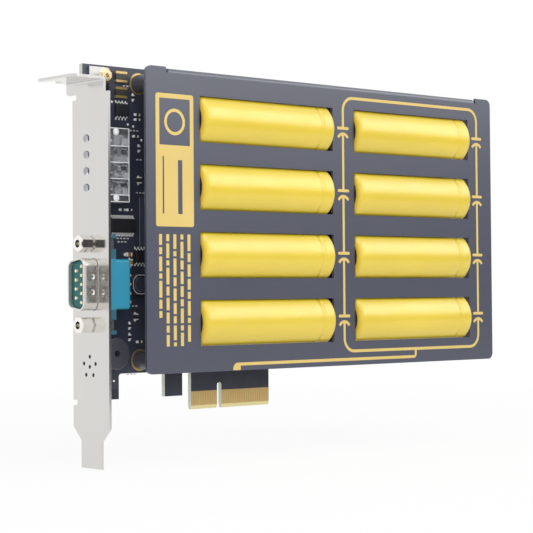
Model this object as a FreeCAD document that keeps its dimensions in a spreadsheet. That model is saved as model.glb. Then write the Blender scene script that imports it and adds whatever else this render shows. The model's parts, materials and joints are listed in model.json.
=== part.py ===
import FreeCAD, Part
import Sketcher
import math
import os
import re

# Driving dimensions in millimetres.
# The origin is on the bottom edge of the contact tongue, at the middle of its key notch, on the
# board's component face. +X runs from the slot bracket to the far end, +Z is up, and the
# components stand on the board towards -Y.
SIZES = {
    # circuit board
    "board_thickness": 1.57,
    "board_height": 110.0,
    "board_gap": 1.24,
    "board_bottom": 12.7,
    "board_rim": 0.95,
    "board_end_reach": 6.2,
    "board_corner": 1.0,
    "leg_width": 13.75,
    "leg_margin": 0.5,
    "guide_reach": 23.15,
    "guide_width": 7.3,
    # contact tongue
    "tongue_left": 12.15,
    "tongue_right": 22.15,
    "key_width": 1.9,
    "key_depth": 8.4,
    "key_round": 0.9,
    "bevel_height": 1.2,
    "bevel_inset": 0.35,
    "contact_pitch": 1.0,
    "contact_key_gap": 3.0,
    "contact_width": 0.7,
    "contact_top": 5.65,
    "contact_bottom": 1.4,
    "plating": 0.05,
    # slot bracket
    "bracket_to_key": 57.6,
    "bracket_sheet": 0.86,
    "bracket_width": 18.42,
    "bracket_back": 2.42,
    "bracket_drop": 15.5,
    "bracket_bend": 0.5,
    "foot_width": 10.19,
    "foot_height": 8.4,
    "foot_taper": 4.1,
    "shoulder_height": 4.65,
    "tab_drop": 5.48,
    "tab_depth": 11.43,
    "tab_overhang": 3.2,
    "tab_relief": 2.3,
    "tab_corner": 1.6,
    "screw_slot_reach": 6.35,
    "screw_slot_width": 4.42,
    "screw_slot_depth": 5.2,
    "screw_slot_flat": 0.05,
    "relief_depth": 2.0,
    "relief_height": 1.6,
    "ear_reach": 11.9,
    "ear_height": 11.6,
    "ear_flare": 1.2,
    "ear_flare_height": 4.0,
    "ear_top_gap": 0.7,
    "ear_notch": 4.2,
    "ear_notch_height": 4.6,
    "low_ear_reach": 12.2,
    "low_ear_height": 8.0,
    "low_ear_gap": 1.1,
    "rivet_diameter": 2.6,
    "rivet_head": 5.2,
    "rivet_back_head": 4.6,
    "rivet_crown": 3.6,
    "rivet_head_height": 0.9,
    "rivet_bore": 1.3,
    "rivet_inset": 2.6,
    "hole_clearance": 0.2,
    # serial port
    "serial_height": 40.9,
    "serial_flange_width": 12.55,
    "serial_flange_length": 30.81,
    "serial_flange_depth": 4.1,
    "serial_block_length": 15.5,
    "serial_block_depth": 10.0,
    "serial_block_round": 1.0,
    "shell_sheet": 0.5,
    "shell_length": 16.92,
    "shell_width": 8.36,
    "shell_round": 2.4,
    "shell_reach": 5.3,
    "shell_clearance": 0.15,
    "dimple_diameter": 1.0,
    "dimple_depth": 0.34,
    "dimple_slope": 0.3,
    "dimple_setback": 3.4,
    "dimple_spacing": 4.7,
    "plug_recess": 1.6,
    "pin_recess": 1.0,
    "pin_diameter": 1.0,
    "pin_pitch": 2.77,
    "pin_row_gap": 2.84,
    "pin_bend": 1.2,
    "pin_near_drop": 1.3,
    "pin_far_drop": 3.84,
    "pin_tail": 1.4,
    "jack_spacing": 24.99,
    "jack_flats": 4.75,
    "jack_length": 4.6,
    "jack_bore": 2.4,
    "jack_bore_depth": 3.8,
    "jack_stud": 2.8,
    "jack_nut_height": 2.0,
    # indicators
    "pipe_gap": 3.88,
    "pipe_rise": 4.8,
    "pipe_pitch": 5.08,
    "pipe_diameter": 2.2,
    "pipe_proud": 0.35,
    "pipe_block_gap": 0.3,
    "pipe_block_length": 13.1,
    "pipe_block_top": 3.6,
    "pipe_block_foot": 4.4,
    "pipe_block_rise": 8.0,
    "pipe_block_lift": 1.2,
    "pipe_foot_width": 1.6,
    "pipe_slit": 0.45,
    "pipe_bridge": 0.6,
    "pipe_recess_length": 3.9,
    "pipe_recess_height": 1.4,
    "pipe_recess_inset": 1.0,
    "pipe_recess_drop": 0.5,
    "pipe_recess_depth": 3.0,
    "led_setback": 3.2,
    "led_length": 1.6,
    "led_width": 0.8,
    "led_height": 0.7,
    # sounder
    "buzzer_setback": 10.0,
    "buzzer_gap": 0.995,
    "buzzer_diameter": 10.2,
    "buzzer_depth": 7.0,
    "buzzer_round": 0.5,
    "buzzer_mouth": 2.0,
    "buzzer_mouth_depth": 2.5,
    "buzzer_pin_spacing": 5.0,
    "buzzer_pin": 0.6,
    "sound_hole": 1.2,
    "sound_ring": 3.1,
    "sound_rise": 6.16,
    "sound_drop": 3.8,
    # capacitors
    "cap_diameter": 18.0,
    "cap_length": 58.2,
    "cap_lift": 0.3,
    "cap_proud": 2.7,
    "column_gap": 11.2,
    "sleeve_wall": 0.25,
    "sleeve_fit": 0.05,
    "sleeve_overlap": 2.2,
    "cap_shoulder": 1.1,
    "groove_setback": 6.0,
    "groove_width": 2.2,
    "groove_depth": 0.45,
    "lead_diameter": 0.9,
    "lead_spacing": 7.5,
    "lead_run": 3.2,
    "lead_bend": 1.4,
    "lead_tail": 1.5,
    # cover
    "cover_sheet": 1.0,
    "cover_bend": 0.4,
    "cover_setback": 14.95,
    "cover_left_margin": 22.05,
    "cover_right_margin": 13.4,
    "cover_edge_margin": 6.6,
    "cover_foot": 0.2,
    "cover_corner": 2.3,
    "window_clearance": 0.1,
    "window_start_gap": 0.25,
    "window_end_gap": 0.75,
    "flange_inset": 8.1,
    "flange_depth": 8.0,
    "flange_drop": 0.35,
    "flange_relief": 1.0,
    # standoffs
    "standoff_diameter": 4.2,
    "standoff_collar": 5.8,
    "standoff_collar_height": 6.2,
    "standoff_left_inset": 9.25,
    "standoff_right_inset": 6.2,
    "standoff_edge_inset": 3.9,
    "standoff_gap": 0.1,
    "standoff_pad": 7.0,
    "screw_diameter": 2.6,
    "screw_bore": 2.7,
    "screw_depth": 6.0,
    "screw_head": 5.4,
    "screw_crown": 4.0,
    "screw_head_height": 1.9,
    # moulded circuits
    "chip_lift": 0.1,
    "chip_chamfer": 0.2,
    "lead_sheet": 0.15,
    "lead_foot": 0.5,
    "lead_shoulder": 0.35,
    "transceiver_setback": 17.4,
    "transceiver_height": 59.5,
    "transceiver_length": 9.7,
    "transceiver_width": 4.4,
    "transceiver_rise": 1.05,
    "transceiver_pitch": 0.65,
    "transceiver_lead": 0.25,
    "supervisor_setback": 17.0,
    "supervisor_gap": 1.05,
    "charger_setback": 24.4,
    "charger_gap": 3.85,
    "small_length": 4.9,
    "small_width": 3.9,
    "small_rise": 1.5,
    "small_pitch": 1.27,
    "small_lead": 0.42,
    # inductor
    "inductor_setback": 22.2,
    "inductor_gap": 2.8,
    "inductor_width": 6.6,
    "inductor_corner": 1.7,
    "inductor_rise": 3.4,
    "inductor_drum": 5.0,
    "inductor_ring": 0.35,
    "inductor_lip": 0.3,
    "inductor_edge": 0.2,
    # resettable fuses
    "fuse_margin": 3.2,
    "fuse_spacing": 5.0,
    "fuse_width": 4.4,
    "fuse_length": 3.5,
    "fuse_rise": 0.9,
    "fuse_terminal": 0.75,
    # chip resistors and ceramic capacitors
    "resistor_length": 1.6,
    "resistor_width": 0.8,
    "resistor_rise": 0.45,
    "ceramic_length": 2.0,
    "ceramic_width": 1.25,
    "ceramic_rise": 1.1,
    "chip_terminal": 0.35,
    "balance_setback": 3.0,
}

# How many there are of each thing that repeats.
ROWS = 4
COLUMNS = 2
LEFT_CONTACTS = 11
RIGHT_CONTACTS = 21
PIPES = 4
FAR_PINS = 5
NEAR_PINS = 4
TRANSCEIVER_LEAD_COUNT = 14
SMALL_LEAD_COUNT = 4
SOUND_HOLES = 5

# Lean of the serial port's short sides, in degrees.
SHELL_LEAN = 10

# Turn of the lower and the upper jackscrew from one flat facing out, in degrees.
JACK_TURNS = (30, 0)

# Places worked out from the driving dimensions.
LAYOUT = {
    "bracket_face": "0 - bracket_to_key",
    "bracket_inner": "bracket_face + bracket_sheet",
    "bracket_front": "bracket_back - bracket_width",
    "bracket_top": "board_height - tab_drop",
    "shoulder_level": "bracket_top - shoulder_height",
    "foot_back": "bracket_back - (bracket_width - foot_width) / 2",
    "foot_front": "foot_back - foot_width",
    "foot_level": "foot_height - bracket_drop",
    "waist_level": "foot_level + foot_taper",
    "board_left": "bracket_inner + board_gap",
    "leg_right": "board_left + leg_width",
    "board_top": "board_height",
    "cover_bottom": "board_bottom + cover_foot",
    "cover_top": "board_top - board_rim",
    "cover_left": "bracket_face + cover_setback",
    "cap_radius": "cap_diameter / 2",
    "cap_axis": "cap_lift + cap_radius",
    "cap_left": "cover_left + cover_left_margin",
    "cap_right": f"cap_left + {COLUMNS - 1} * column_pitch + cap_length",
    "column_pitch": "cap_length + column_gap",
    "row_base": "cover_bottom + cover_edge_margin + cap_radius",
    "row_top": "cover_top - cover_edge_margin - cap_radius",
    "row_pitch": f"(row_top - row_base) / {ROWS - 1}",
    "cover_right": "cap_right + cover_right_margin",
    "cover_back": "cap_lift + cap_diameter - cap_proud - cover_sheet",
    "window_half": "sqrt((cap_proud + cover_sheet) * (cap_diameter - cap_proud - cover_sheet))"
                   " + window_clearance",
    "flange_left": "cover_left + flange_inset + flange_relief",
    "flange_right": "cover_right - flange_inset - flange_relief",
    "flange_top": "cover_top - flange_drop",
    "board_right": "cover_right + board_end_reach",
    "ear_top": "board_top - ear_top_gap",
    "ear_right": "bracket_face + ear_reach",
    "buzzer_height": "serial_height - serial_flange_length / 2 - buzzer_gap - buzzer_diameter / 2",
    "low_ear_top": "buzzer_height - buzzer_diameter / 2 - low_ear_gap",
    "low_ear_bottom": "low_ear_top - low_ear_height",
    "leg_bottom": "low_ear_bottom - leg_margin",
    "sound_height": "buzzer_height - sound_drop",
    "low_ear_right": "bracket_face + low_ear_reach",
    "rivet_top": "ear_top - rivet_inset",
    "rivet_low": "low_ear_bottom + low_ear_height / 2",
    "rivet_top_x": "ear_right + ear_flare - rivet_inset",
    "rivet_low_x": "low_ear_right - rivet_inset",
    "standoff_low": "cover_bottom + standoff_edge_inset",
    "standoff_high": "flange_top - cover_sheet - cover_bend - standoff_gap - standoff_diameter / 2",
    "standoff_left": "cover_left + standoff_left_inset",
    "standoff_right": "cover_right - standoff_right_inset",
    "serial_rise": "serial_flange_width / 2",
    "shell_back": "bracket_inner + shell_sheet",
    "shell_rim": "bracket_face - shell_reach",
    "block_back": "shell_back + serial_block_depth",
    "pin_near_x": "block_back + pin_near_drop",
    "pin_far_x": "block_back + pin_far_drop",
    "small_span": "small_width / 2 + lead_shoulder + lead_foot",
    "transceiver_span": "transceiver_width / 2 + lead_shoulder + lead_foot",
    "charger_height": "transceiver_height - transceiver_span - charger_gap - small_span",
    "inductor_height": "charger_height - small_span - inductor_gap - inductor_width / 2",
    "pipe_block_low": "transceiver_height + transceiver_span + pipe_gap",
    "pipe_low": "pipe_block_low + pipe_block_foot",
    "pipe_block_high": f"pipe_low + {PIPES - 1} * pipe_pitch + pipe_block_top",
    "pipe_block_left": "bracket_inner + pipe_block_gap",
    "pipe_block_right": "pipe_block_left + pipe_block_length",
    "buzzer_x": "bracket_face + buzzer_setback",
    "transceiver_x": "bracket_face + transceiver_setback",
    "supervisor_x": "bracket_face + supervisor_setback",
    "charger_x": "bracket_face + charger_setback",
    "inductor_x": "bracket_face + inductor_setback",
    "fuse_x": "(ear_right + ear_flare + standoff_left - standoff_pad / 2) / 2",
    "fuse_height": "board_top - fuse_margin",
    "fuse_bottom": "fuse_height - fuse_spacing - fuse_length / 2",
    "supervisor_height": "fuse_bottom - supervisor_gap - small_span",
}

# Small parts on the open strip of the board: the place they are set out from, how far along and
# up from it they sit, and whether they stand upright.
RESISTORS = [
    ("supervisor_x", 6.6, "supervisor_height", -1.0, False),
    ("supervisor_x", 6.6, "supervisor_height", -2.6, False),
    ("supervisor_x", 5.9, "supervisor_height", -8.0, False),
    ("supervisor_x", 4.9, "supervisor_height", 4.4, True),
    ("supervisor_x", 7.2, "supervisor_height", -11.8, True),
    ("transceiver_x", 0.0, "transceiver_height", 5.1, False),
    ("transceiver_x", 2.8, "transceiver_height", 5.1, False),
    ("inductor_x", -2.1, "inductor_height", -13.1, True),
    ("inductor_x", -2.1, "inductor_height", -16.7, True),
    ("standoff_left", -0.2, "standoff_low", 5.8, False),
]
CERAMICS = [
    ("charger_x", -4.8, "charger_height", 0.6, False),
    ("charger_x", -4.2, "charger_height", -1.9, True),
    ("supervisor_x", 7.0, "supervisor_height", -22.0, True),
    ("inductor_x", 0.2, "inductor_height", -10.3, True),
]

doc = FreeCAD.newDocument("backup_module")
sheet = doc.addObject("Spreadsheet::Sheet", "Sizes")
layout = doc.addObject("App::VarSet", "Layout")
subparts = []


def formula(text):
    """A size expression with every named size looked up where it is kept."""
    def look_up(match):
        word = match.group(0)
        if word in SIZES:
            return "Sizes." + word
        return "Layout." + word if word in LAYOUT else word
    return re.sub(r"[a-z]\w*", look_up, text)


def size(word):
    """The number that a named size or place has now."""
    return float(sheet.get(word)) if word in SIZES else float(getattr(layout, word))


def fill_sheet():
    for row, (alias, number) in enumerate(SIZES.items(), start=1):
        sheet.set(f"A{row}", alias)
        sheet.set(f"B{row}", str(number))
        sheet.setAlias(f"B{row}", alias)
    doc.recompute()
    for word in LAYOUT:
        layout.addProperty("App::PropertyFloat", word)
    for word, text in LAYOUT.items():
        layout.setExpression(word, formula(text))
    doc.recompute()


def keep(piece, label):
    """List a finished piece under the name of its file."""
    piece.Label = label
    subparts.append(piece)
    return piece


def new_body(label):
    return keep(doc.addObject("PartDesign::Body", label), label)


def place_point(sketch, geometry, point, across, up, start):
    for kind, text, guess in (("DistanceX", across, start.x), ("DistanceY", up, start.y)):
        constraint = Sketcher.Constraint(kind, -1, 1, geometry, point, guess)
        index = sketch.addConstraint(constraint)
        sketch.setExpression(f"Constraints[{index}]", formula(text))


def add_polygon(sketch, corners):
    first = sketch.GeometryCount
    count = len(corners)
    starts = [FreeCAD.Vector(i + 1, (i + 1) ** 2, 0) for i in range(count)]
    for i in range(count):
        sketch.addGeometry(Part.LineSegment(starts[i], starts[(i + 1) % count]), False)
    for i in range(count):
        follower = first + (i + 1) % count
        sketch.addConstraint(Sketcher.Constraint("Coincident", first + i, 2, follower, 1))
    for i, (across, up) in enumerate(corners):
        place_point(sketch, first + i, 1, across, up, starts[i])


def add_circle(sketch, across, up, diameter):
    centre = FreeCAD.Vector(1, 1, 0)
    circle = sketch.addGeometry(Part.Circle(centre, FreeCAD.Vector(0, 0, 1), 1), False)
    place_point(sketch, circle, 3, across, up, centre)
    index = sketch.addConstraint(Sketcher.Constraint("Diameter", circle, 2))
    sketch.setExpression(f"Constraints[{index}]", formula(diameter))


def draw(body, plane, name, polygons=(), circles=(), lift="0"):
    """A sketch of closed outlines on one of the body's own planes, lifted along its normal."""
    sketch = body.newObject("Sketcher::SketchObject", name)
    support = next(part for part in body.Origin.OriginFeatures if part.Role == plane)
    sketch.AttachmentSupport = (support, [""])
    sketch.MapMode = "FlatFace"
    sketch.setExpression(".AttachmentOffset.Base.z", formula(lift))
    for corners in polygons:
        add_polygon(sketch, corners)
    for across, up, diameter in circles:
        add_circle(sketch, across, up, diameter)
    doc.recompute()
    return sketch


def sweep_straight(kind, body, sketch, name, length, backwards):
    feature = body.newObject(kind, name)
    feature.Profile = sketch
    feature.setExpression("Length", formula(length))
    feature.Reversed = backwards
    doc.recompute()
    return feature


def pad(body, sketch, name, length, backwards=False):
    return sweep_straight("PartDesign::Pad", body, sketch, name, length, backwards)


def pocket(body, sketch, name, length, backwards=False):
    before = body.Shape.Volume
    feature = sweep_straight("PartDesign::Pocket", body, sketch, name, length, backwards)
    if not body.Shape.Volume < before:
        raise ValueError(f"{name} cuts nothing from {body.Label}")
    return feature


def revolve(body, sketch, name):
    feature = body.newObject("PartDesign::Revolution", name)
    feature.Profile = sketch
    feature.ReferenceAxis = (sketch, ["H_Axis"])
    feature.Angle = 360
    doc.recompute()
    return feature


def corner_edges(feature, sketch, corners):
    """Names of the edges that run from the given corners of the sketch out of its plane."""
    normal = sketch.Placement.Rotation.multVec(FreeCAD.Vector(0, 0, 1))
    names = []
    for corner in corners:
        point = sketch.Placement.multVec(sketch.Geometry[corner].StartPoint)
        for number, edge in enumerate(feature.Shape.Edges, start=1):
            if edge.distToShape(Part.Vertex(point))[0] > 1e-5:
                continue
            heading = edge.tangentAt(edge.Curve.parameter(point))
            if abs(heading.dot(normal)) > 0.999:
                names.append(f"Edge{number}")
    if not names:
        raise ValueError(f"{sketch.Label} has no edge at its corners")
    return names


def line_edges(feature, x=None, y=None, z=None):
    """Names of the edges whose ends all have the given coordinates."""
    wanted = [(axis, place) for axis, place in zip("xyz", (x, y, z)) if place is not None]
    names = []
    for number, edge in enumerate(feature.Shape.Edges, start=1):
        ends = [vertex.Point for vertex in edge.Vertexes]
        if all(abs(getattr(end, axis) - place) < 1e-5 for end in ends for axis, place in wanted):
            names.append(f"Edge{number}")
    return names


def dress(kind, body, feature, name, edges, amount):
    edge_finish = body.newObject(kind, name)
    edge_finish.Base = (feature, edges)
    edge_finish.setExpression("Radius" if kind.endswith("Fillet") else "Size", formula(amount))
    doc.recompute()
    return edge_finish


def fillet(body, feature, name, edges, radius):
    return dress("PartDesign::Fillet", body, feature, name, edges, radius)


def chamfer(body, feature, name, edges, amount):
    return dress("PartDesign::Chamfer", body, feature, name, edges, amount)


def rectangle(left, right, low, high):
    return [(left, low), (right, low), (right, high), (left, high)]


def solids(label, shapes):
    """A node of separate like solids, from shapes made with the sheet's sizes."""
    piece = doc.addObject("Part::Feature", label)
    piece.Shape = Part.makeCompound(shapes)
    return keep(piece, label)


def block(left, right, back, front, low, high):
    """A box between named places; back and front are distances out from the board's face."""
    corner = FreeCAD.Vector(left, -front, low)
    return Part.makeBox(right - left, front - back, high - low, corner)


def rod(start, direction, diameter, length):
    return Part.makeCylinder(diameter / 2, length, start, direction)


def bent_wire(points, bend, diameter):
    """A round wire along two straight runs joined by a quarter turn."""
    start, corner, end = points
    ahead = (corner - start).normalize()
    aside = (end - corner).normalize()
    entry = corner - ahead * bend
    leave = corner + aside * bend
    first = rod(start, ahead, diameter, start.distanceToPoint(entry))
    section = Part.Face(Part.Wire(Part.makeCircle(diameter / 2, entry, ahead)))
    turn = section.revolve(entry + aside * bend, ahead.cross(aside), 90)
    last = rod(leave, aside, diameter, leave.distanceToPoint(end))
    return first.fuse([turn, last]).removeSplitter()


ALONG = FreeCAD.Vector(1, 0, 0)
OUT = FreeCAD.Vector(0, -1, 0)
BACK = FreeCAD.Vector(0, 1, 0)


def row_level(row):
    return f"row_base + {row} * row_pitch"


def column_start(column):
    return f"cap_left + {column} * column_pitch"


def cap_places():
    for column in range(COLUMNS):
        for row in range(ROWS):
            yield column_start(column), row_level(row)


def standoff_places():
    for across in ("standoff_left", "standoff_right"):
        for up in ("standoff_low", "standoff_high"):
            yield across, up


def rivet_places():
    yield "rivet_top_x", "rivet_top"
    yield "rivet_low_x", "rivet_low"


def pin_places():
    """Row offset from the port's middle, height, and where the pin turns to the board."""
    for count, side, drop in ((FAR_PINS, 1, "pin_far_x"), (NEAR_PINS, -1, "pin_near_x")):
        for i in range(count):
            height = f"serial_height + {i - (count - 1) / 2} * pin_pitch"
            yield f"(serial_rise + {side} * pin_row_gap / 2)", height, drop


def jack_heights():
    for side in (-1, 1):
        yield f"serial_height + {side} * jack_spacing / 2"


def make_board():
    body = new_body("circuit_board")
    guide_right = "guide_width - guide_reach"
    outline = [
        ("board_left", "board_top"),
        ("board_left", "leg_bottom"),
        ("leg_right", "leg_bottom"),
        ("leg_right", "board_bottom"),
        ("0 - guide_reach", "board_bottom"),
        ("0 - guide_reach", "leg_bottom"),
        (guide_right, "leg_bottom"),
        (guide_right, "board_bottom"),
        ("0 - tongue_left", "board_bottom"),
        ("0 - tongue_left", "0"),
        ("0 - key_width / 2", "0"),
        ("0 - key_width / 2", "key_depth"),
        ("key_width / 2", "key_depth"),
        ("key_width / 2", "0"),
        ("tongue_right", "0"),
        ("tongue_right", "board_bottom"),
        ("board_right", "board_bottom"),
        ("board_right", "board_top"),
    ]
    holes = [(x, z, "screw_diameter + hole_clearance") for x, z in standoff_places()]
    holes += [(x, z, "rivet_diameter + hole_clearance") for x, z in rivet_places()]
    holes += [(x, z, "pin_diameter + hole_clearance") for rise, z, x in pin_places()]
    for start, level in cap_places():
        lead_x = f"{start} + cap_length + lead_run"
        for side in (-1, 1):
            lead_z = f"{level} + {side} * lead_spacing / 2"
            holes.append((lead_x, lead_z, "lead_diameter + hole_clearance"))
    for side in (-1, 1):
        pin_z = f"buzzer_height + {side} * buzzer_pin_spacing / 2"
        holes.append(("buzzer_x", pin_z, "buzzer_pin + hole_clearance"))
    sketch = draw(body, "XZ_Plane", "board_outline", [outline], holes)
    plate = pad(body, sketch, "board_plate", "board_thickness", backwards=True)
    corners = corner_edges(plate, sketch, (3, 4, 7, 8, 15, 16, 17))
    rounded = fillet(body, plate, "board_corners", corners, "board_corner")
    key_corners = corner_edges(rounded, sketch, (11, 12))
    rounded = fillet(body, rounded, "key_end", key_corners, "key_round")
    bevels = [
        [("0", "0"), ("0", "bevel_height"), ("bevel_inset", "0")],
        [
            ("board_thickness", "0"),
            ("board_thickness - bevel_inset", "0"),
            ("board_thickness", "bevel_height"),
        ],
    ]
    edge = draw(body, "YZ_Plane", "bevel_profile", bevels, lift="0 - tongue_left")
    body.Tip = rounded
    pocket(body, edge, "tongue_bevel", "tongue_left + tongue_right", backwards=True)


def contact_places():
    """Middle of each contact, counted out from the key notch on both sides."""
    first = size("contact_key_gap") / 2
    for i in range(LEFT_CONTACTS):
        yield -first - i * size("contact_pitch")
    for i in range(RIGHT_CONTACTS):
        yield first + i * size("contact_pitch")


def make_contacts():
    half = size("contact_width") / 2
    plating = size("plating")
    faces = ((0, plating), (-size("board_thickness") - plating, -size("board_thickness")))
    strips = []
    for middle in contact_places():
        for back, front in faces:
            low = size("contact_bottom")
            strips.append(block(middle - half, middle + half, back, front, low, size("contact_top")))
    solids("edge_contacts", strips)


def shell_outline(inset):
    """The port's keystone outline, its long side out from the board, set in all round."""
    half = f"(shell_length / 2 - {inset})"
    rise = f"(shell_width / 2 - {inset})"
    taper = f"2 * {rise} * tan({SHELL_LEAN} deg)"
    return [
        (f"0 - serial_rise - {rise}", f"serial_height - {half}"),
        (f"0 - serial_rise - {rise}", f"serial_height + {half}"),
        (f"{rise} - serial_rise", f"serial_height + {half} - {taper}"),
        (f"{rise} - serial_rise", f"serial_height - {half} + {taper}"),
    ]


def make_bracket():
    body = new_body("bracket")
    relief = "bracket_back - relief_depth"
    plate_outline = [
        ("foot_back", "0 - bracket_drop"),
        ("foot_front", "0 - bracket_drop"),
        ("foot_front", "foot_level"),
        ("bracket_front", "waist_level"),
        ("bracket_front", "shoulder_level"),
        ("bracket_front + tab_relief", "shoulder_level"),
        ("bracket_front + tab_relief", "bracket_top"),
        ("bracket_back + tab_overhang", "bracket_top"),
        ("bracket_back + tab_overhang", "shoulder_level"),
        (relief, "shoulder_level"),
        (relief, "shoulder_level - relief_height"),
        ("bracket_back", "shoulder_level - relief_height"),
        ("bracket_back", "low_ear_bottom"),
        (relief, "low_ear_bottom"),
        (relief, "low_ear_bottom - relief_height"),
        ("bracket_back", "low_ear_bottom - relief_height"),
        ("bracket_back", "waist_level"),
        ("foot_back", "foot_level"),
    ]
    port = shell_outline("(0 - shell_clearance)")
    port_hole = "jack_stud + hole_clearance"
    holes = [("0 - serial_rise", height, port_hole) for height in jack_heights()]
    pipe_hole = "pipe_diameter + hole_clearance"
    holes += [("0 - pipe_rise", f"pipe_low + {i} * pipe_pitch", pipe_hole) for i in range(PIPES)]
    holes.append(("0 - sound_rise", "sound_height", "sound_hole"))
    for i in range(SOUND_HOLES):
        turn = 90 + 360 / SOUND_HOLES * i
        across = f"sound_ring * cos({turn} deg) - sound_rise"
        holes.append((across, f"sound_height + sound_ring * sin({turn} deg)", "sound_hole"))
    sketch = draw(body, "YZ_Plane", "plate_outline", [plate_outline, port], holes, lift="bracket_face")
    plate = pad(body, sketch, "plate", "bracket_sheet")
    port_edges = corner_edges(plate, sketch, range(len(plate_outline), len(plate_outline) + 4))
    plate = fillet(body, plate, "port_corners", port_edges, "shell_round + shell_clearance")
    plate = fillet(body, plate, "shoulder_round", corner_edges(plate, sketch, (8,)), "tab_corner")

    slot_near = "bracket_face - screw_slot_reach + screw_slot_width / 2"
    slot_far = "bracket_face - screw_slot_reach - screw_slot_width / 2"
    tab_end = "bracket_back + tab_overhang"
    tab_outline = [
        ("bracket_inner", "bracket_front + tab_relief"),
        ("bracket_inner", tab_end),
        (slot_near, tab_end),
        (slot_near, f"{tab_end} - screw_slot_depth"),
        (slot_far, f"{tab_end} - screw_slot_depth"),
        (slot_far, tab_end),
        ("bracket_face - tab_depth", tab_end),
        ("bracket_face - tab_depth", "bracket_front + tab_relief"),
    ]
    flat = draw(body, "XY_Plane", "tab_outline", [tab_outline], lift="bracket_top - bracket_sheet")
    tab = pad(body, flat, "tab", "bracket_sheet")
    tab = fillet(body, tab, "tab_corners", corner_edges(tab, flat, (6, 7)), "tab_corner")
    slot_edges = corner_edges(tab, flat, (3, 4))
    tab = fillet(body, tab, "slot_round", slot_edges, "screw_slot_width / 2 - screw_slot_flat")
    outer = line_edges(tab, x=size("bracket_inner"), z=size("bracket_top"))
    tab = fillet(body, tab, "outer_bend", outer, "bracket_bend + bracket_sheet")
    under = size("bracket_top") - size("bracket_sheet")
    inner = line_edges(tab, x=size("bracket_face"), z=under)
    tab = fillet(body, tab, "inner_bend", inner, "bracket_bend")

    notch_level = "ear_top - ear_notch_height"
    ear = [
        ("bracket_face", "ear_top - ear_height"),
        ("ear_right", "ear_top - ear_height"),
        ("ear_right", "ear_top - ear_flare_height"),
        ("ear_right + ear_flare", "ear_top"),
        ("bracket_face + ear_notch", "ear_top"),
        ("bracket_face + ear_notch", notch_level),
        ("bracket_face", notch_level),
    ]
    low_ear = rectangle("bracket_face", "low_ear_right", "low_ear_bottom", "low_ear_top")
    rivets = [(x, z, "rivet_diameter + hole_clearance") for x, z in rivet_places()]
    ears = draw(body, "XZ_Plane", "ear_outlines", [ear, low_ear], rivets)
    raised = pad(body, ears, "ears", "bracket_sheet")
    ear_corners = corner_edges(raised, ears, (1, 3, 8, 9))
    fillet(body, raised, "ear_rounds", ear_corners, "tab_corner")


def make_rivets():
    """Tubular rivets through the bracket's ears and the board."""
    radius = size("rivet_head") / 2
    back_radius = size("rivet_back_head") / 2
    crown_radius = size("rivet_crown") / 2
    crown = size("rivet_head_height")
    sheet_front = size("bracket_sheet")
    board_back = size("board_thickness")
    grip = sheet_front + board_back
    shapes = []
    for x, z in rivet_places():
        centre = FreeCAD.Vector(size(x), 0, size(z))
        shank_start = centre + OUT * sheet_front
        shank = rod(shank_start, BACK, size("rivet_diameter"), grip)
        front_head = Part.makeCone(radius, crown_radius, crown, shank_start, OUT)
        back_head = Part.makeCone(back_radius, crown_radius, crown, centre + BACK * board_back, BACK)
        bore = rod(shank_start + OUT * crown, BACK, size("rivet_bore"), grip + 2 * crown)
        shapes.append(shank.fuse([front_head, back_head]).cut(bore).removeSplitter())
    solids("bracket_rivets", shapes)


def make_port_shell():
    """Drawn steel shell of the serial port with its mounting flange behind the bracket."""
    body = new_body("serial_shell")
    outer = draw(body, "YZ_Plane", "shell_outer", [shell_outline("0")], lift="shell_rim")
    tube_length = "shell_reach + bracket_sheet + shell_sheet"
    pad(body, outer, "shell_tube", tube_length)
    flange_edge = "serial_flange_length / 2"
    flange_outline = rectangle(
        "0 - serial_flange_width",
        "0",
        f"serial_height - {flange_edge}",
        f"serial_height + {flange_edge}",
    )
    holes = [("0 - serial_rise", height, "jack_stud + hole_clearance") for height in jack_heights()]
    flat = draw(body, "YZ_Plane", "flange_outline", [flange_outline], holes, lift="bracket_inner")
    pad(body, flat, "shell_flange", "shell_sheet")
    inner = draw(body, "YZ_Plane", "shell_inner", [shell_outline("shell_sheet")], lift="shell_rim")
    opening = pocket(body, inner, "shell_opening", tube_length, backwards=True)
    inner_edges = corner_edges(opening, inner, range(4))
    opening = fillet(body, opening, "opening_corners", inner_edges, "shell_round - shell_sheet")
    outer_edges = corner_edges(opening, outer, range(4))
    fillet(body, opening, "shell_corners", outer_edges, "shell_round")
    spots = []
    for side in (-1, 1):
        level = f"serial_height + {side} * dimple_spacing / 2"
        spots.append(("shell_rim + dimple_setback", level, "dimple_diameter"))
    side_face = "serial_rise + shell_width / 2"
    marks = draw(body, "XZ_Plane", "dimple_marks", circles=spots, lift=side_face)
    dimples = pocket(body, marks, "dimples", "dimple_depth")
    rim = size("shell_rim") + size("dimple_setback") + size("dimple_diameter") / 2
    rims = line_edges(dimples, x=rim, y=-size("serial_rise") - size("shell_width") / 2)
    chamfer(body, dimples, "dimple_sides", rims, "dimple_slope")


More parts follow.
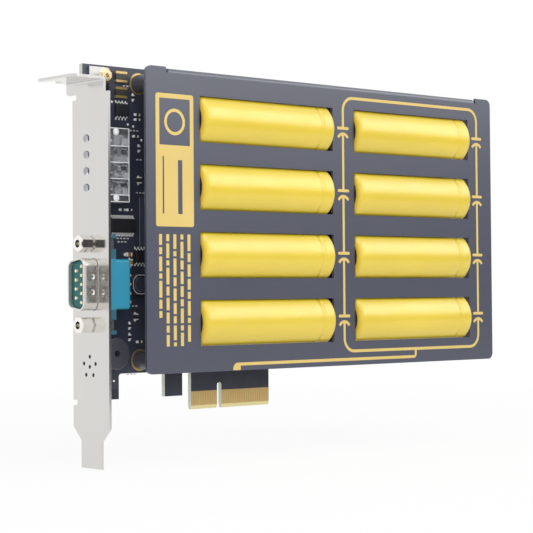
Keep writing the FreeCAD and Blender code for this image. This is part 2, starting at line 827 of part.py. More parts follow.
def make_port_housing():
    """Moulded housing: the plug inside the shell, the flange behind it and the pin block."""
    body = new_body("serial_housing")
    inset = "(shell_sheet + shell_clearance)"
    plug_face = "shell_rim + plug_recess"
    face = draw(body, "YZ_Plane", "plug_outline", [shell_outline(inset)], lift=plug_face)
    plug = pad(body, face, "plug", f"shell_back - ({plug_face})")
    plug_edges = corner_edges(plug, face, range(4))
    fillet(body, plug, "plug_corners", plug_edges, f"shell_round - {inset}")
    end = "serial_flange_length / 2"
    slot = "(jack_stud / 2 + hole_clearance)"
    low_jack, high_jack = jack_heights()
    flange_outline = [
        ("0", f"serial_height - {end}"),
        ("0", f"serial_height + {end}"),
        ("0 - serial_flange_width", f"serial_height + {end}"),
        ("0 - serial_flange_width", f"{high_jack} + {slot}"),
        ("0 - serial_rise + jack_stud", f"{high_jack} + {slot}"),
        ("0 - serial_rise + jack_stud", f"{high_jack} - {slot}"),
        ("0 - serial_flange_width", f"{high_jack} - {slot}"),
        ("0 - serial_flange_width", f"{low_jack} + {slot}"),
        ("0 - serial_rise + jack_stud", f"{low_jack} + {slot}"),
        ("0 - serial_rise + jack_stud", f"{low_jack} - {slot}"),
        ("0 - serial_flange_width", f"{low_jack} - {slot}"),
        ("0 - serial_flange_width", f"serial_height - {end}"),
    ]
    flat = draw(body, "YZ_Plane", "flange_outline", [flange_outline], lift="shell_back")
    pad(body, flat, "flange", "serial_flange_depth")
    half = "serial_block_length / 2"
    block_outline = rectangle(
        "0 - serial_flange_width",
        "0",
        f"serial_height - {half}",
        f"serial_height + {half}",
    )
    rear = draw(body, "YZ_Plane", "block_outline", [block_outline], lift="shell_back")
    rear_block = pad(body, rear, "pin_block", "serial_block_depth")
    face_edges = line_edges(rear_block, x=size("block_back"), y=-size("serial_flange_width"))
    for level in (-1, 1):
        edge_height = size("serial_height") + level * size("serial_block_length") / 2
        face_edges += line_edges(rear_block, x=size("block_back"), z=edge_height)
        face_edges += line_edges(rear_block, y=-size("serial_flange_width"), z=edge_height)
    fillet(body, rear_block, "block_rounds", face_edges, "serial_block_round")
    pin_bore = "pin_diameter + shell_clearance"
    bores = [(f"0 - {rise}", height, pin_bore) for rise, height, drop in pin_places()]
    bore_sketch = draw(body, "YZ_Plane", "pin_bores", circles=bores, lift="shell_rim")
    pocket(body, bore_sketch, "bores", "block_back - shell_rim", backwards=True)


def make_port_pins():
    """Round pins that run back through the housing and turn down into the board."""
    tip = size("shell_rim") + size("pin_recess")
    tail = size("board_thickness") + size("pin_tail")
    pins = []
    for count, side, turn in ((FAR_PINS, 1, "pin_far_x"), (NEAR_PINS, -1, "pin_near_x")):
        rise = size("serial_rise") + side * size("pin_row_gap") / 2
        for i in range(count):
            z = size("serial_height") + (i - (count - 1) / 2) * size("pin_pitch")
            route = (
                FreeCAD.Vector(tip, -rise, z),
                FreeCAD.Vector(size(turn), -rise, z),
                FreeCAD.Vector(size(turn), tail, z),
            )
            pins.append(bent_wire(route, size("pin_bend"), size("pin_diameter")))
    solids("serial_pins", pins)


def hexagon(centre, flats, length, turn=0):
    """A hexagonal bar along X, turned from one flat facing out from the board."""
    corner = flats / math.sqrt(3)
    turns = [math.radians(60 * i + turn) for i in range(7)]
    points = [centre + FreeCAD.Vector(0, corner * math.sin(t), corner * math.cos(t)) for t in turns]
    return Part.Face(Part.makePolygon(points)).extrude(ALONG * length)


def jack_centres(x):
    for side in (-1, 1):
        z = size("serial_height") + side * size("jack_spacing") / 2
        yield FreeCAD.Vector(x, -size("serial_rise"), z)


def make_jackscrews():
    face = size("bracket_face")
    length = size("jack_length")
    nut_seat = size("shell_back") + size("serial_flange_depth")
    stud_length = nut_seat + size("jack_nut_height") - face
    shapes = []
    for turn, centre in zip(JACK_TURNS, jack_centres(face - length)):
        post = hexagon(centre, size("jack_flats"), length, turn)
        stud = rod(centre + ALONG * length, ALONG, size("jack_stud"), stud_length)
        bore = rod(centre, ALONG, size("jack_bore"), size("jack_bore_depth"))
        shapes.append(post.fuse(stud).cut(bore))
    solids("jackscrews", shapes)
    nuts = []
    for centre in jack_centres(nut_seat):
        nut = hexagon(centre, size("jack_flats"), size("jack_nut_height"))
        thread = rod(centre, ALONG, size("jack_stud"), size("jack_nut_height"))
        nuts.append(nut.cut(thread))
    solids("jackscrew_nuts", nuts)


def make_light_pipe():
    """Clear block of four light guides on two feet, with a round nose for each bracket hole."""
    body = new_body("light_pipe")
    profile = [
        ("pipe_block_low", "0"),
        ("pipe_block_low + pipe_foot_width", "0"),
        ("pipe_block_low + pipe_foot_width", "0 - pipe_block_lift"),
        ("pipe_block_high - pipe_foot_width", "0 - pipe_block_lift"),
        ("pipe_block_high - pipe_foot_width", "0"),
        ("pipe_block_high", "0"),
        ("pipe_block_high", "0 - pipe_block_rise"),
        ("pipe_block_low", "0 - pipe_block_rise"),
    ]
    upright = [(across, up) for up, across in profile]
    sketch = draw(body, "YZ_Plane", "block_profile", [upright], lift="pipe_block_left")
    pad(body, sketch, "guide_block", "pipe_block_length")
    slits = []
    for i in range(PIPES):
        level = f"pipe_low + ({i} - 0.5) * pipe_pitch"
        slits.append(rectangle(
            "pipe_block_left",
            "pipe_block_right - pipe_bridge",
            f"{level} - pipe_slit / 2",
            f"{level} + pipe_slit / 2",
        ))
    cuts = draw(body, "XZ_Plane", "slits", slits, lift="pipe_block_rise")
    pocket(body, cuts, "guide_slits", "pipe_block_rise - pipe_block_lift")
    recesses = []
    for i in range(1, PIPES):
        top = f"pipe_low + ({i} - 0.5) * pipe_pitch - pipe_slit / 2 - pipe_recess_drop"
        recesses.append(rectangle(
            "pipe_block_right - pipe_recess_inset - pipe_recess_length",
            "pipe_block_right - pipe_recess_inset",
            f"{top} - pipe_recess_height",
            top,
        ))
    hollows = draw(body, "XZ_Plane", "recesses", recesses, lift="pipe_block_rise")
    pocket(body, hollows, "guide_recesses", "pipe_recess_depth")
    noses = [("0 - pipe_rise", f"pipe_low + {i} * pipe_pitch", "pipe_diameter") for i in range(PIPES)]
    ends = draw(body, "YZ_Plane", "noses", circles=noses, lift="bracket_face - pipe_proud")
    pad(body, ends, "guide_noses", "pipe_proud + bracket_sheet + pipe_block_gap")


def make_leds():
    right = size("pipe_block_right") - size("led_setback")
    shapes = []
    for i in range(PIPES):
        z = size("pipe_low") + i * size("pipe_pitch")
        half = size("led_width") / 2
        shapes.append(block(right - size("led_length"), right, 0, size("led_height"), z - half, z + half))
    solids("indicator_leds", shapes)


def make_buzzer():
    body = new_body("buzzer")
    circle = [("buzzer_x", "buzzer_height", "buzzer_diameter")]
    sketch = draw(body, "XZ_Plane", "buzzer_outline", circles=circle)
    can = pad(body, sketch, "can", "buzzer_depth")
    rim = line_edges(can, y=-size("buzzer_depth"))
    fillet(body, can, "can_round", rim, "buzzer_round")
    mouth = [("buzzer_x", "buzzer_height", "buzzer_mouth")]
    hole = draw(body, "XZ_Plane", "mouth_outline", circles=mouth, lift="buzzer_depth")
    pocket(body, hole, "mouth", "buzzer_mouth_depth")
    pins = []
    for side in (-1, 1):
        z = size("buzzer_height") + side * size("buzzer_pin_spacing") / 2
        start = FreeCAD.Vector(size("buzzer_x"), 0, z)
        pins.append(rod(start, BACK, size("buzzer_pin"), size("board_thickness") + size("pin_tail")))
    solids("buzzer_pins", pins)


def cap_profile(radius, inset, open_radius):
    """Half section of a capacitor's outside, with its rolled groove, open at both ends."""
    end = f"(cap_length - {inset})"
    groove = "(cap_length - groove_setback)"
    return [
        (inset, open_radius),
        (inset, f"{radius} - cap_shoulder"),
        (f"{inset} + cap_shoulder", radius),
        (f"{groove} - groove_width / 2", radius),
        (groove, f"{radius} - groove_depth"),
        (f"{groove} + groove_width / 2", radius),
        (f"{end} - cap_shoulder", radius),
        (end, f"{radius} - cap_shoulder"),
        (end, open_radius),
    ]


def make_capacitor(number, start, level):
    """One cell: the rolled can, the shrunk sleeve over it and the two wires to the board."""
    bore = "(cap_radius - sleeve_wall)"
    sleeve = new_body(f"capacitor_sleeve_{number}")
    opening = "(cap_radius - cap_shoulder - sleeve_overlap)"
    outside = cap_profile("cap_radius", "0", opening)
    inside = cap_profile(bore, "sleeve_wall", opening)
    section = draw(sleeve, "XY_Plane", "sleeve_section", [outside + inside[::-1]])
    revolve(sleeve, section, "sleeve_tube")
    can = new_body(f"capacitor_can_{number}")
    can_section = cap_profile(f"({bore} - sleeve_fit)", "(sleeve_wall + sleeve_fit)", "0")
    section = draw(can, "XY_Plane", "can_section", [can_section])
    revolve(can, section, "can_body")
    for body in (sleeve, can):
        body.setExpression(".Placement.Base.x", formula(start))
        body.setExpression(".Placement.Base.y", formula("0 - cap_axis"))
        body.setExpression(".Placement.Base.z", formula(level))
    doc.recompute()
    make_leads(number, can)


def make_leads(number, can):
    """Two wires out of a can's far end, turned down through the board."""
    place = can.Placement.Base
    end = place.x + size("cap_length")
    seat = end - size("sleeve_wall") - size("sleeve_fit")
    turn = end + size("lead_run")
    tail = size("board_thickness") + size("lead_tail")
    wires = []
    for side in (-1, 1):
        z = place.z + side * size("lead_spacing") / 2
        route = (
            FreeCAD.Vector(seat, place.y, z),
            FreeCAD.Vector(turn, place.y, z),
            FreeCAD.Vector(turn, tail, z),
        )
        wires.append(bent_wire(route, size("lead_bend"), size("lead_diameter")))
    solids(f"capacitor_leads_{number}", wires)


def make_cover():
    """Folded sheet cover with a window for each cell and one flange along its top edge."""
    body = new_body("cover")
    left_relief = "cover_left + flange_inset"
    right_relief = "cover_right - flange_inset"
    relief_level = "flange_top - cover_sheet - cover_bend"
    outline = [
        ("cover_left", "cover_bottom"),
        ("cover_right", "cover_bottom"),
        ("cover_right", "cover_top"),
        (right_relief, "cover_top"),
        (right_relief, relief_level),
        ("flange_right", relief_level),
        ("flange_right", "flange_top"),
        ("flange_left", "flange_top"),
        ("flange_left", relief_level),
        (left_relief, relief_level),
        (left_relief, "cover_top"),
        ("cover_left", "cover_top"),
    ]
    windows = []
    for start, level in cap_places():
        windows.append(rectangle(
            f"{start} - window_start_gap",
            f"{start} + cap_length + window_end_gap",
            f"{level} - window_half",
            f"{level} + window_half",
        ))
    sketch = draw(body, "XZ_Plane", "cover_outline", [outline] + windows, lift="cover_back")
    plate = pad(body, sketch, "cover_plate", "cover_sheet")
    fillet(body, plate, "cover_corners", corner_edges(plate, sketch, (0, 1, 2, 11)), "cover_corner")
    front = "0 - cover_back - cover_sheet"
    strip = rectangle("flange_left", "flange_right", front, f"{front} + flange_depth")
    flat = draw(body, "XY_Plane", "flange_outline", [strip], lift="flange_top - cover_sheet")
    flange = pad(body, flat, "flange", "cover_sheet")
    outer = line_edges(flange, y=-size("cover_back") - size("cover_sheet"), z=size("flange_top"))
    flange = fillet(body, flange, "outer_bend", outer, "cover_bend + cover_sheet")
    under = size("flange_top") - size("cover_sheet")
    inner = line_edges(flange, y=-size("cover_back"), z=under)
    fillet(body, flange, "inner_bend", inner, "cover_bend")


def make_standoffs():
    plating = size("plating")
    board_back = size("board_thickness")
    grip = board_back + size("screw_depth")
    posts = []
    rings = []
    screws = []
    for x, z in standoff_places():
        foot = FreeCAD.Vector(size(x), -plating, size(z))
        post = rod(foot, OUT, size("standoff_diameter"), size("cover_back") - plating)
        collar = rod(foot, OUT, size("standoff_collar"), size("standoff_collar_height"))
        bore = rod(foot, OUT, size("screw_bore"), size("screw_depth") + size("hole_clearance"))
        posts.append(post.fuse(collar).cut(bore))
        pad_face = FreeCAD.Vector(size(x), 0, size(z))
        ring = rod(pad_face, OUT, size("standoff_pad"), plating)
        hole = rod(pad_face, OUT, size("screw_diameter") + size("hole_clearance"), plating)
        rings.append(ring.cut(hole))
        seat = FreeCAD.Vector(size(x), board_back, size(z))
        shank = rod(seat, OUT, size("screw_diameter"), grip)
        rim, crown = size("screw_head") / 2, size("screw_crown") / 2
        head = Part.makeCone(rim, crown, size("screw_head_height"), seat, BACK)
        screws.append(shank.fuse(head))
    solids("standoffs", posts)
    solids("standoff_pads", rings)
    solids("standoff_screws", screws)


def make_package(label, x, height, length, width, rise):
    """A moulded circuit body, lifted off the board by its leads, with bevelled top edges."""
    body = new_body(label)
    outline = rectangle(
        f"{x} - {length} / 2",
        f"{x} + {length} / 2",
        f"{height} - {width} / 2",
        f"{height} + {width} / 2",
    )
    sketch = draw(body, "XZ_Plane", "package_outline", [outline], lift="chip_lift")
    mould = pad(body, sketch, "package", f"{rise} - chip_lift")
    chamfer(body, mould, "package_edges", line_edges(mould, y=-size(rise)), "chip_chamfer")


def make_gull_leads(label, x, height, width, rise, pitch, lead_width, count):
    """Bent leads along both long sides of a moulded circuit, their feet on the board."""
    sheet_metal = size("lead_sheet")
    middle = size(rise) / 2
    shapes = []
    for side in (-1, 1):
        edge = size(height) + side * size(width) / 2
        knee = edge + side * size("lead_shoulder")
        toe = knee + side * size("lead_foot")
        path = [
            (edge, middle),
            (edge, middle + sheet_metal),
            (knee + side * sheet_metal, middle + sheet_metal),
            (knee + side * sheet_metal, sheet_metal),
            (toe, sheet_metal),
            (toe, 0),
            (knee, 0),
            (knee, middle),
            (edge, middle),
        ]
        for i in range(count):
            lead_x = size(x) + (i - (count - 1) / 2) * size(pitch) - size(lead_width) / 2
            points = [FreeCAD.Vector(lead_x, -out, z) for z, out in path]
            profile = Part.Face(Part.makePolygon(points))
            shapes.append(profile.extrude(ALONG * size(lead_width)))
    solids(label, shapes)


def make_circuits():
    make_package("transceiver", "transceiver_x", "transceiver_height",
                 "transceiver_length", "transceiver_width", "transceiver_rise")
    make_gull_leads("transceiver_leads", "transceiver_x", "transceiver_height", "transceiver_width",
                    "transceiver_rise", "transceiver_pitch", "transceiver_lead", TRANSCEIVER_LEAD_COUNT)
    for name in ("supervisor", "charger"):
        make_package(name, f"{name}_x", f"{name}_height", "small_length", "small_width", "small_rise")
        make_gull_leads(f"{name}_leads", f"{name}_x", f"{name}_height", "small_width",
                        "small_rise", "small_pitch", "small_lead", SMALL_LEAD_COUNT)


def make_inductor():
    """Shielded power inductor: an eight-sided ferrite ring round a drum core."""
    body = new_body("inductor_shield")
    half = "inductor_width / 2"
    flat = "(inductor_width / 2 - inductor_corner)"
    outline = []
    for side_x, side_z in ((1, 1), (-1, 1), (-1, -1), (1, -1)):
        ends = [(half, flat), (flat, half)]
        for across, up in ends if side_x == side_z else ends[::-1]:
            outline.append((f"inductor_x + {side_x} * {across}", f"inductor_height + {side_z} * {up}"))
    well = [("inductor_x", "inductor_height", "inductor_drum + 2 * inductor_ring")]
    sketch = draw(body, "XZ_Plane", "shield_outline", [outline], well)
    shield = pad(body, sketch, "shield", "inductor_rise")
    rims = line_edges(shield, y=-size("inductor_rise"))
    fillet(body, shield, "shield_rims", rims, "inductor_edge")
    core = new_body("inductor_core")
    circle = [("inductor_x", "inductor_height", "inductor_drum")]
    drum = draw(core, "XZ_Plane", "core_outline", circles=circle)
    column = pad(core, drum, "core", "inductor_rise + inductor_lip")
    crown = line_edges(column, y=-size("inductor_rise") - size("inductor_lip"))
    chamfer(core, column, "core_edge", crown, "inductor_lip")


def make_fuses():
    """Flat resettable fuses with a plated strip along their upper and lower edges."""
    bodies = []
    strips = []
    half = size("fuse_width") / 2
    end = size("fuse_terminal")
    for i in range(2):
        x = size("fuse_x")
        low = size("fuse_height") - i * size("fuse_spacing") - size("fuse_length") / 2
        high = low + size("fuse_length")
        bodies.append(block(x - half, x + half, 0, size("fuse_rise"), low + end, high - end))
        for strip_low in (low, high - end):
            strips.append(block(x - half, x + half, 0, size("fuse_rise"), strip_low, strip_low + end))
    solids("resettable_fuses", bodies)
    solids("fuse_terminals", strips)


def chip_pieces(x, z, upright, length, width, rise):
    """Body and the two plated ends of a chip part at a place on the board."""
    half = length / 2
    end = size("chip_terminal")
    spans = ((-half + end, half - end), (-half, -half + end), (half - end, half))
    pieces = []
    for low, high in spans:
        if upright:
            pieces.append(block(x - width / 2, x + width / 2, 0, rise, z + low, z + high))
        else:
            pieces.append(block(x + low, x + high, 0, rise, z - width / 2, z + width / 2))
    return pieces


def chip_places(chips):
    return [(size(x) + along, size(z) + up, upright) for x, along, z, up, upright in chips]


def make_chips():
    resistors = chip_places(RESISTORS)
    for column in range(COLUMNS):
        cap_end = size("cap_left") + column * size("column_pitch") + size("cap_length")
        for row in range(ROWS):
            level = size("row_base") + row * size("row_pitch")
            resistors.append((cap_end + size("lead_run") + size("balance_setback"), level, True))
    ceramics = chip_places(CERAMICS)
    ends = []
    for label, kind, places in (
        ("chip_resistors", "resistor", resistors),
        ("ceramic_capacitors", "ceramic", ceramics),
    ):
        bodies = []
        for x, z, upright in places:
            measures = [size(f"{kind}_{word}") for word in ("length", "width", "rise")]
            body, *terminals = chip_pieces(x, z, upright, *measures)
            bodies.append(body)
            ends += terminals
        solids(label, bodies)
    solids("chip_terminals", ends)


def check_and_write():
    doc.recompute()
    for item in doc.Objects:
        faults = {"Invalid", "Error"} & set(item.State)
        if faults:
            raise ValueError(f"{item.Label} is left {faults}")
    for piece in subparts:
        if piece.Shape.isNull() or not piece.Shape.isValid() or not piece.Shape.Solids:
            raise ValueError(f"{piece.Label} has no sound shape")
    os.makedirs("parts", exist_ok=True)
    for piece in subparts:
        piece.Shape.exportStep(f"parts/{piece.Label}.step")


fill_sheet()
make_bracket()
make_board()
make_contacts()
make_rivets()
make_port_shell()
make_port_housing()
make_port_pins()
make_jackscrews()
make_light_pipe()
make_leds()
make_buzzer()
for number, (start, level) in enumerate(cap_places(), start=1):
    make_capacitor(number, start, level)
make_cover()
make_standoffs()
make_circuits()
make_inductor()
make_fuses()
make_chips()
check_and_write()
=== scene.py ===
import json
import math
import bmesh
import bpy
from mathutils import Matrix, Vector, noise


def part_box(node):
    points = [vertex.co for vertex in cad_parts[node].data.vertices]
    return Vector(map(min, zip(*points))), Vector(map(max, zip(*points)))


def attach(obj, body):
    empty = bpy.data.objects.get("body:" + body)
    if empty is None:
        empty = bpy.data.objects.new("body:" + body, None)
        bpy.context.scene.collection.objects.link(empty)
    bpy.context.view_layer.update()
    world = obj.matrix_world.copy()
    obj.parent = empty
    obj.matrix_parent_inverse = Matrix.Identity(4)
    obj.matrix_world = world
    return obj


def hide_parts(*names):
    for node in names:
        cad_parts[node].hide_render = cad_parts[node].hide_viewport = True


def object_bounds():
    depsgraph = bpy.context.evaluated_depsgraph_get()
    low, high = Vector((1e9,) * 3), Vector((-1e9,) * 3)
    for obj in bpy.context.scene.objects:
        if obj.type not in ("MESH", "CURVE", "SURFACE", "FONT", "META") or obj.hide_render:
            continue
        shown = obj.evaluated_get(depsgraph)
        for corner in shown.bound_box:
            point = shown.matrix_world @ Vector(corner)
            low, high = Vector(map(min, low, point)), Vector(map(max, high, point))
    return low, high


bl_info = {
    "name": "Backup Module Finish",
    "version": (1, 0, 0),
    "blender": (4, 5, 0),
    "location": "View3D > Sidebar > Backup Module",
    "description": "Finishes a capacitor backup card: sleeves, cover print, solder, surfaces and a studio",
    "category": "Object",
}

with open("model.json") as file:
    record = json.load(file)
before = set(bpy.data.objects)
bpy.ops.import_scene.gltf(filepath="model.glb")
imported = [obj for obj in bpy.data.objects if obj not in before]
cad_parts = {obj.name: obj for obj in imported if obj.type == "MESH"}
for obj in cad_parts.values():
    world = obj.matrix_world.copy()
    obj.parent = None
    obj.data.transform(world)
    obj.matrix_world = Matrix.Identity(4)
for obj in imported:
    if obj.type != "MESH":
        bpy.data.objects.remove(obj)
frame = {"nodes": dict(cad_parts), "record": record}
CAD_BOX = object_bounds()
MM = 0.001
# Points nearer than these count as one: on a cut, and in a turned shape.
SNAP = 0.001 * MM
WELD = 0.0001 * MM
ALONG_X, ALONG_Y, ALONG_Z = (1.0, 0.0, 0.0), (0.0, 1.0, 0.0), (0.0, 0.0, 1.0)
BODY = "root"
CELLS = range(1, 9)
ROWS = 4
# Radius of a cell's wire.
WIRE = 0.45 * MM
COVER_LOW, COVER_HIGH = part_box("cover")
BOARD_LOW, BOARD_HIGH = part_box("circuit_board")
# The jackscrews stand this far out of the bracket's face, in millimetres.
JACK_REACH = 4.6
BRACKET_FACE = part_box("jackscrews")[0].x + JACK_REACH * MM
# The sound holes: their middle's Y and its drop under the buzzer's middle, and their reach round it.
SOUND_Y, SOUND_DROP, SOUND_REACH = -6.16 * MM, 3.8 * MM, 4.6 * MM
# Half the height of the port housing's block.
HOUSING_HALF = 7.75 * MM
# Ceramic capacitors this near to the charger are tan.
CHARGER_REACH = 8.0 * MM
# The painted light strip on the board by the bracket, a lighter tone standing in for light there: its far
# edge and its lower edge.
PAINTED_LIGHT_END, PAINTED_LIGHT_FOOT = -27 * MM, 8 * MM
# The copper area by the transceiver: its left, lower and upper edges.
POUR_LEFT, POUR_LOW, POUR_HIGH = -33.2 * MM, 53.0 * MM, 68.7 * MM
# Height of the bevel under the contacts.
BEVEL = 1.2 * MM
SLOT_OF = {part["node"]: part["material_slot"] for part in frame["record"]["subparts"]}


def amount(name, description, value):
    """A plain number property."""
    return bpy.props.FloatProperty(name=name, description=description, default=value)


def length(name, description, millimetres):
    """A length property, given in millimetres and kept in metres."""
    return bpy.props.FloatProperty(
        name=name, description=description, default=millimetres * MM, unit="LENGTH", precision=5)


def colour(name, description, red, green, blue):
    """A colour property, in linear light."""
    return bpy.props.FloatVectorProperty(
        name=name, description=description, default=(red, green, blue), subtype="COLOR", min=0.0, max=1.0)


def angle(name, description, degrees):
    return bpy.props.FloatProperty(
        name=name, description=description, default=math.radians(degrees), subtype="ANGLE")


class SleeveSettings(bpy.types.PropertyGroup):
    """Sizes of the shrunk film on each cell."""
    wall: length("Film", "Thickness of the shrunk film", 0.25)
    shoulder: length("Shoulder", "Radius of the film's turn at each end", 1.9)
    opening: length("Opening", "Radius of the film's opening at each end", 6.95)
    groove_setback: length("Groove setback", "Rolled groove to the cell's far end", 6.0)
    groove_width: length("Groove width", "Width of the rolled groove", 1.8)
    groove_depth: length("Groove depth", "Depth of the rolled groove", 0.42)
    groove_round: length("Groove round", "Rounding of the groove", 0.6)
    crease: length("Crease", "Depth of the film's soft creases", 0.10)
    steps: bpy.props.IntProperty(name="Steps", description="Faces round each cell", default=80, min=24)


class PrintSettings(bpy.types.PropertyGroup):
    """Sizes of the print on the cover, from the cover's lower left corner."""
    ink: length("Ink", "Thickness of the ink", 0.03)
    line: length("Line", "Width of the circuit's lines", 1.0)
    loop_left: length("Loop left", "Middle of the loop's left line", 85.9)
    loop_right: length("Loop right", "Middle of the loop's right line", 155.15)
    loop_low: length("Loop low", "Middle of the loop's lower line", 4.85)
    loop_high: length("Loop high", "Middle of the loop's upper line", 91.8)
    loop_round: length("Loop round", "Radius of the loop's corners", 4.5)
    symbol_low: length("Symbol low", "Flat plate of the lowest symbol", 16.91)
    symbol_pitch: length("Symbol pitch", "Spacing of the symbols", 21.443)
    plate_half: length("Plate half", "Half the width of a symbol", 2.75)
    plate_gap: length("Plate gap", "Middle of the flat plate to the top of the curved plate", 1.45)
    bow_radius: length("Bow radius", "Radius of the curved plate", 2.8)
    bow_turn: angle("Bow turn", "Half the sweep of the curved plate", 57)
    feed_level: length("Feed level", "Height of the feed line", 2.05)
    feed_left: length("Feed left", "Left edge of the feed line's pad", 35.3)
    feed_end: length("Feed end", "Where the feed line turns up to the loop", 121.35)
    feed_round: length("Feed round", "Rounding of the feed line's corners", 1.9)
    pad_width: length("Pad width", "Width of the pad at the feed line's start", 3.2)
    pad_low: length("Pad low", "Lower edge of the pad", 0.15)
    panel_left: length("Panel left", "Left edge of the panel", 3.8)
    panel_right: length("Panel right", "Right edge of the panel", 19.15)
    panel_low: length("Panel low", "Lower edge of the panel", 46.0)
    panel_high: length("Panel high", "Upper edge of the panel", 87.8)
    panel_round: length("Panel round", "Rounding of the panel's corners", 0.8)
    field_low: length("Field low", "Lower edge of the open field in the panel", 71.6)
    panel_frame: length("Panel frame", "Width of the frame round the open field", 1.5)
    ring_radius: length("Ring radius", "Radius of the plain ring in the open field", 4.2)
    rule_left: length("Rule left", "Middle of the first ruled column", 5.55)
    rule_pitch: length("Rule pitch", "Spacing of the ruled columns", 2.87)
    rule_high: length("Rule high", "Top of the ruled columns", 43.6)
    rule_low: length("Rule low", "Bottom of the ruled columns", 8.5)
    rule_width: length("Rule width", "Width of a ruled stroke", 1.2)
    rule_gap: length("Rule gap", "Gap between two strokes of a column", 0.7)


class PortSettings(bpy.types.PropertyGroup):
    """Sizes of the jackscrews of the serial port."""
    flats: length("Flats", "Jackscrew across its flats", 4.75)
    reach: length("Reach", "Jackscrew out from the bracket", JACK_REACH)
    bore: length("Bore", "Radius of the threaded bore", 1.2)
    bore_depth: length("Bore depth", "Depth of the threaded bore", 3.8)
    stud: length("Stud", "Radius of the stud behind", 1.4)
    chamfer: length("Chamfer", "Chamfer of the outer end", 0.3)
    seat: length("Seat", "Chamfer of the end on the bracket", 0.5)
    edge: length("Edge", "Rounding of the long edges", 0.14)
    turn: angle("Turn", "Turn of the lower jackscrew from the upper one", 30)


class ScrewSettings(bpy.types.PropertyGroup):
    """Sizes of the screws behind the board."""
    head: length("Head", "Radius of the head", 2.7)
    head_height: length("Head height", "Height of the head", 1.9)
    band: length("Band", "Height of the straight band round the head", 0.7)
    crown: length("Crown", "Radius of the head's flat top", 1.7)
    socket: length("Socket", "Radius of the hexagonal socket", 1.15)
    socket_depth: length("Socket depth", "Depth of the hexagonal socket", 1.2)
    shank: length("Shank", "Radius of the shank", 1.3)


class SolderSettings(bpy.types.PropertyGroup):
    """Sizes of the solder on the board."""
    joint_radius: length("Joint radius", "Foot of a solder joint", 1.15)
    joint_height: length("Joint height", "Height of a solder joint", 1.1)
    joint_neck: length("Joint neck", "Solder joint where it meets its wire", 0.5)
    dot_radius: length("Dot radius", "Small solder dots on the component side", 0.42)
    dot_height: length("Dot height", "Rise of the small solder dots", 0.3)
    foot_radius: length("Foot radius", "Solder at the foot of a circuit's lead", 0.28)
    pin_pitch: length("Pin pitch", "Spacing of the port's pins", 2.77)
    pin_row: length("Pin row", "Spacing of the port's two rows of pins", 2.54)


class FinishSettings(bpy.types.PropertyGroup):
    """Colours of the module's surfaces."""
    nickel: colour("Nickel", "Bright plate of the bracket", 0.69, 0.68, 0.66)
    # Painted shade in the bracket's sound holes, darker than their punched walls would be.
    sound_hole_shade: colour("Sheared", "Sheared walls of the bracket's sound holes", 0.035, 0.033, 0.030)
    shell: colour("Shell", "Plate of the port's shell", 0.84, 0.82, 0.78)
    steel: colour("Steel", "Zinc plated screws", 0.92, 0.90, 0.85)
    gold: colour("Gold", "Contacts and pads", 0.63, 0.45, 0.185)
    pin: colour("Pin", "Pins of the port", 0.95, 0.84, 0.62)
    brass: colour("Brass", "Rivets", 0.80, 0.65, 0.40)
    tin: colour("Tin", "Solder and tinned wire", 0.95, 0.95, 0.94)
    aluminium: colour("Aluminium", "Cans", 0.62, 0.62, 0.64)
    mask: colour("Mask", "Board lacquer", 0.0230, 0.0275, 0.0430)
    copper: colour("Copper", "Lacquer over a copper area", 0.030, 0.036, 0.055)
    # Painted light: a lighter lacquer tone on the board strip by the bracket, where it is seen between the
    # bracket and the cover.
    plane: colour("Plane", "Lacquer over the copper plane by the bracket", 0.042, 0.049, 0.074)
    pour: colour("Pour", "Lacquer over the copper area by the transceiver", 0.064, 0.074, 0.116)
    laminate: colour("Laminate", "Bare edge of the board", 0.64, 0.67, 0.58)
    bare: colour("Bare", "Bare laminate between the contacts", 0.48, 0.33, 0.125)
    bevel: colour("Bevel", "Bevelled lower edge of the tongue", 0.70, 0.62, 0.30)
    legend: colour("Legend", "White legend on the board", 0.60, 0.61, 0.62)
    paint: colour("Paint", "Cover paint", 0.063, 0.068, 0.097)
    ink: colour("Ink", "Print on the cover", 0.63, 0.465, 0.145)
    film: colour("Film", "Sleeves", 0.685, 0.513, 0.034)
    # Painted shade on the sleeves where they turn in at their ends.
    film_end_shade: colour("Drawn film", "Sleeves where they draw in", 0.66, 0.45, 0.018)
    teal: colour("Teal", "Port housing", 0.007, 0.200, 0.310)
    # Painted shade: the next two teals stand in for shade inside the shell and on the thin flange.
    shell_shade_teal: colour("Deep teal", "Port housing inside the shell", 0.026, 0.140, 0.142)
    shaded_teal: colour("Shaded teal", "Thin flange of the port housing", 0.010, 0.085, 0.125)
    clear: colour("Clear", "Light pipe", 0.92, 0.94, 0.97)
    lens: colour("Lens", "Ends of the light pipe's guides", 0.48, 0.49, 0.51)
    # Painted highlight: the pale strips along the light pipe's slits and edges; the peg heads take the same
    # pale tone.
    frost: colour("Frost", "Glints and peg heads of the light pipe", 0.92, 0.92, 0.93)
    # Painted highlight on the rounded top edge of the inductor's shield.
    rim: colour("Rim", "Highlighted rim of the inductor", 0.62, 0.62, 0.68)
    # Painted shade on the ends of the cans, which lie behind the cover.
    can_end_shade: colour("Can end", "Ends of the cans", 0.035, 0.037, 0.046)
    lamp: colour("Lamp", "Indicator lamps", 0.70, 0.70, 0.62)
    epoxy: colour("Epoxy", "Moulded circuits", 0.020, 0.020, 0.024)
    sounder: colour("Sounder", "Buzzer case", 0.044, 0.046, 0.060)
    ferrite: colour("Ferrite", "Inductor", 0.043, 0.047, 0.066)
    polymer: colour("Polymer", "Resettable fuses", 0.045, 0.040, 0.030)
    ceramic: colour("Ceramic", "Ceramic capacitors beside the charger", 0.38, 0.20, 0.075)
    dark_ceramic: colour("Dark ceramic", "Ceramic capacitors elsewhere", 0.040, 0.036, 0.034)
    blackened: colour("Blackened", "Standoffs", 0.075, 0.078, 0.094)


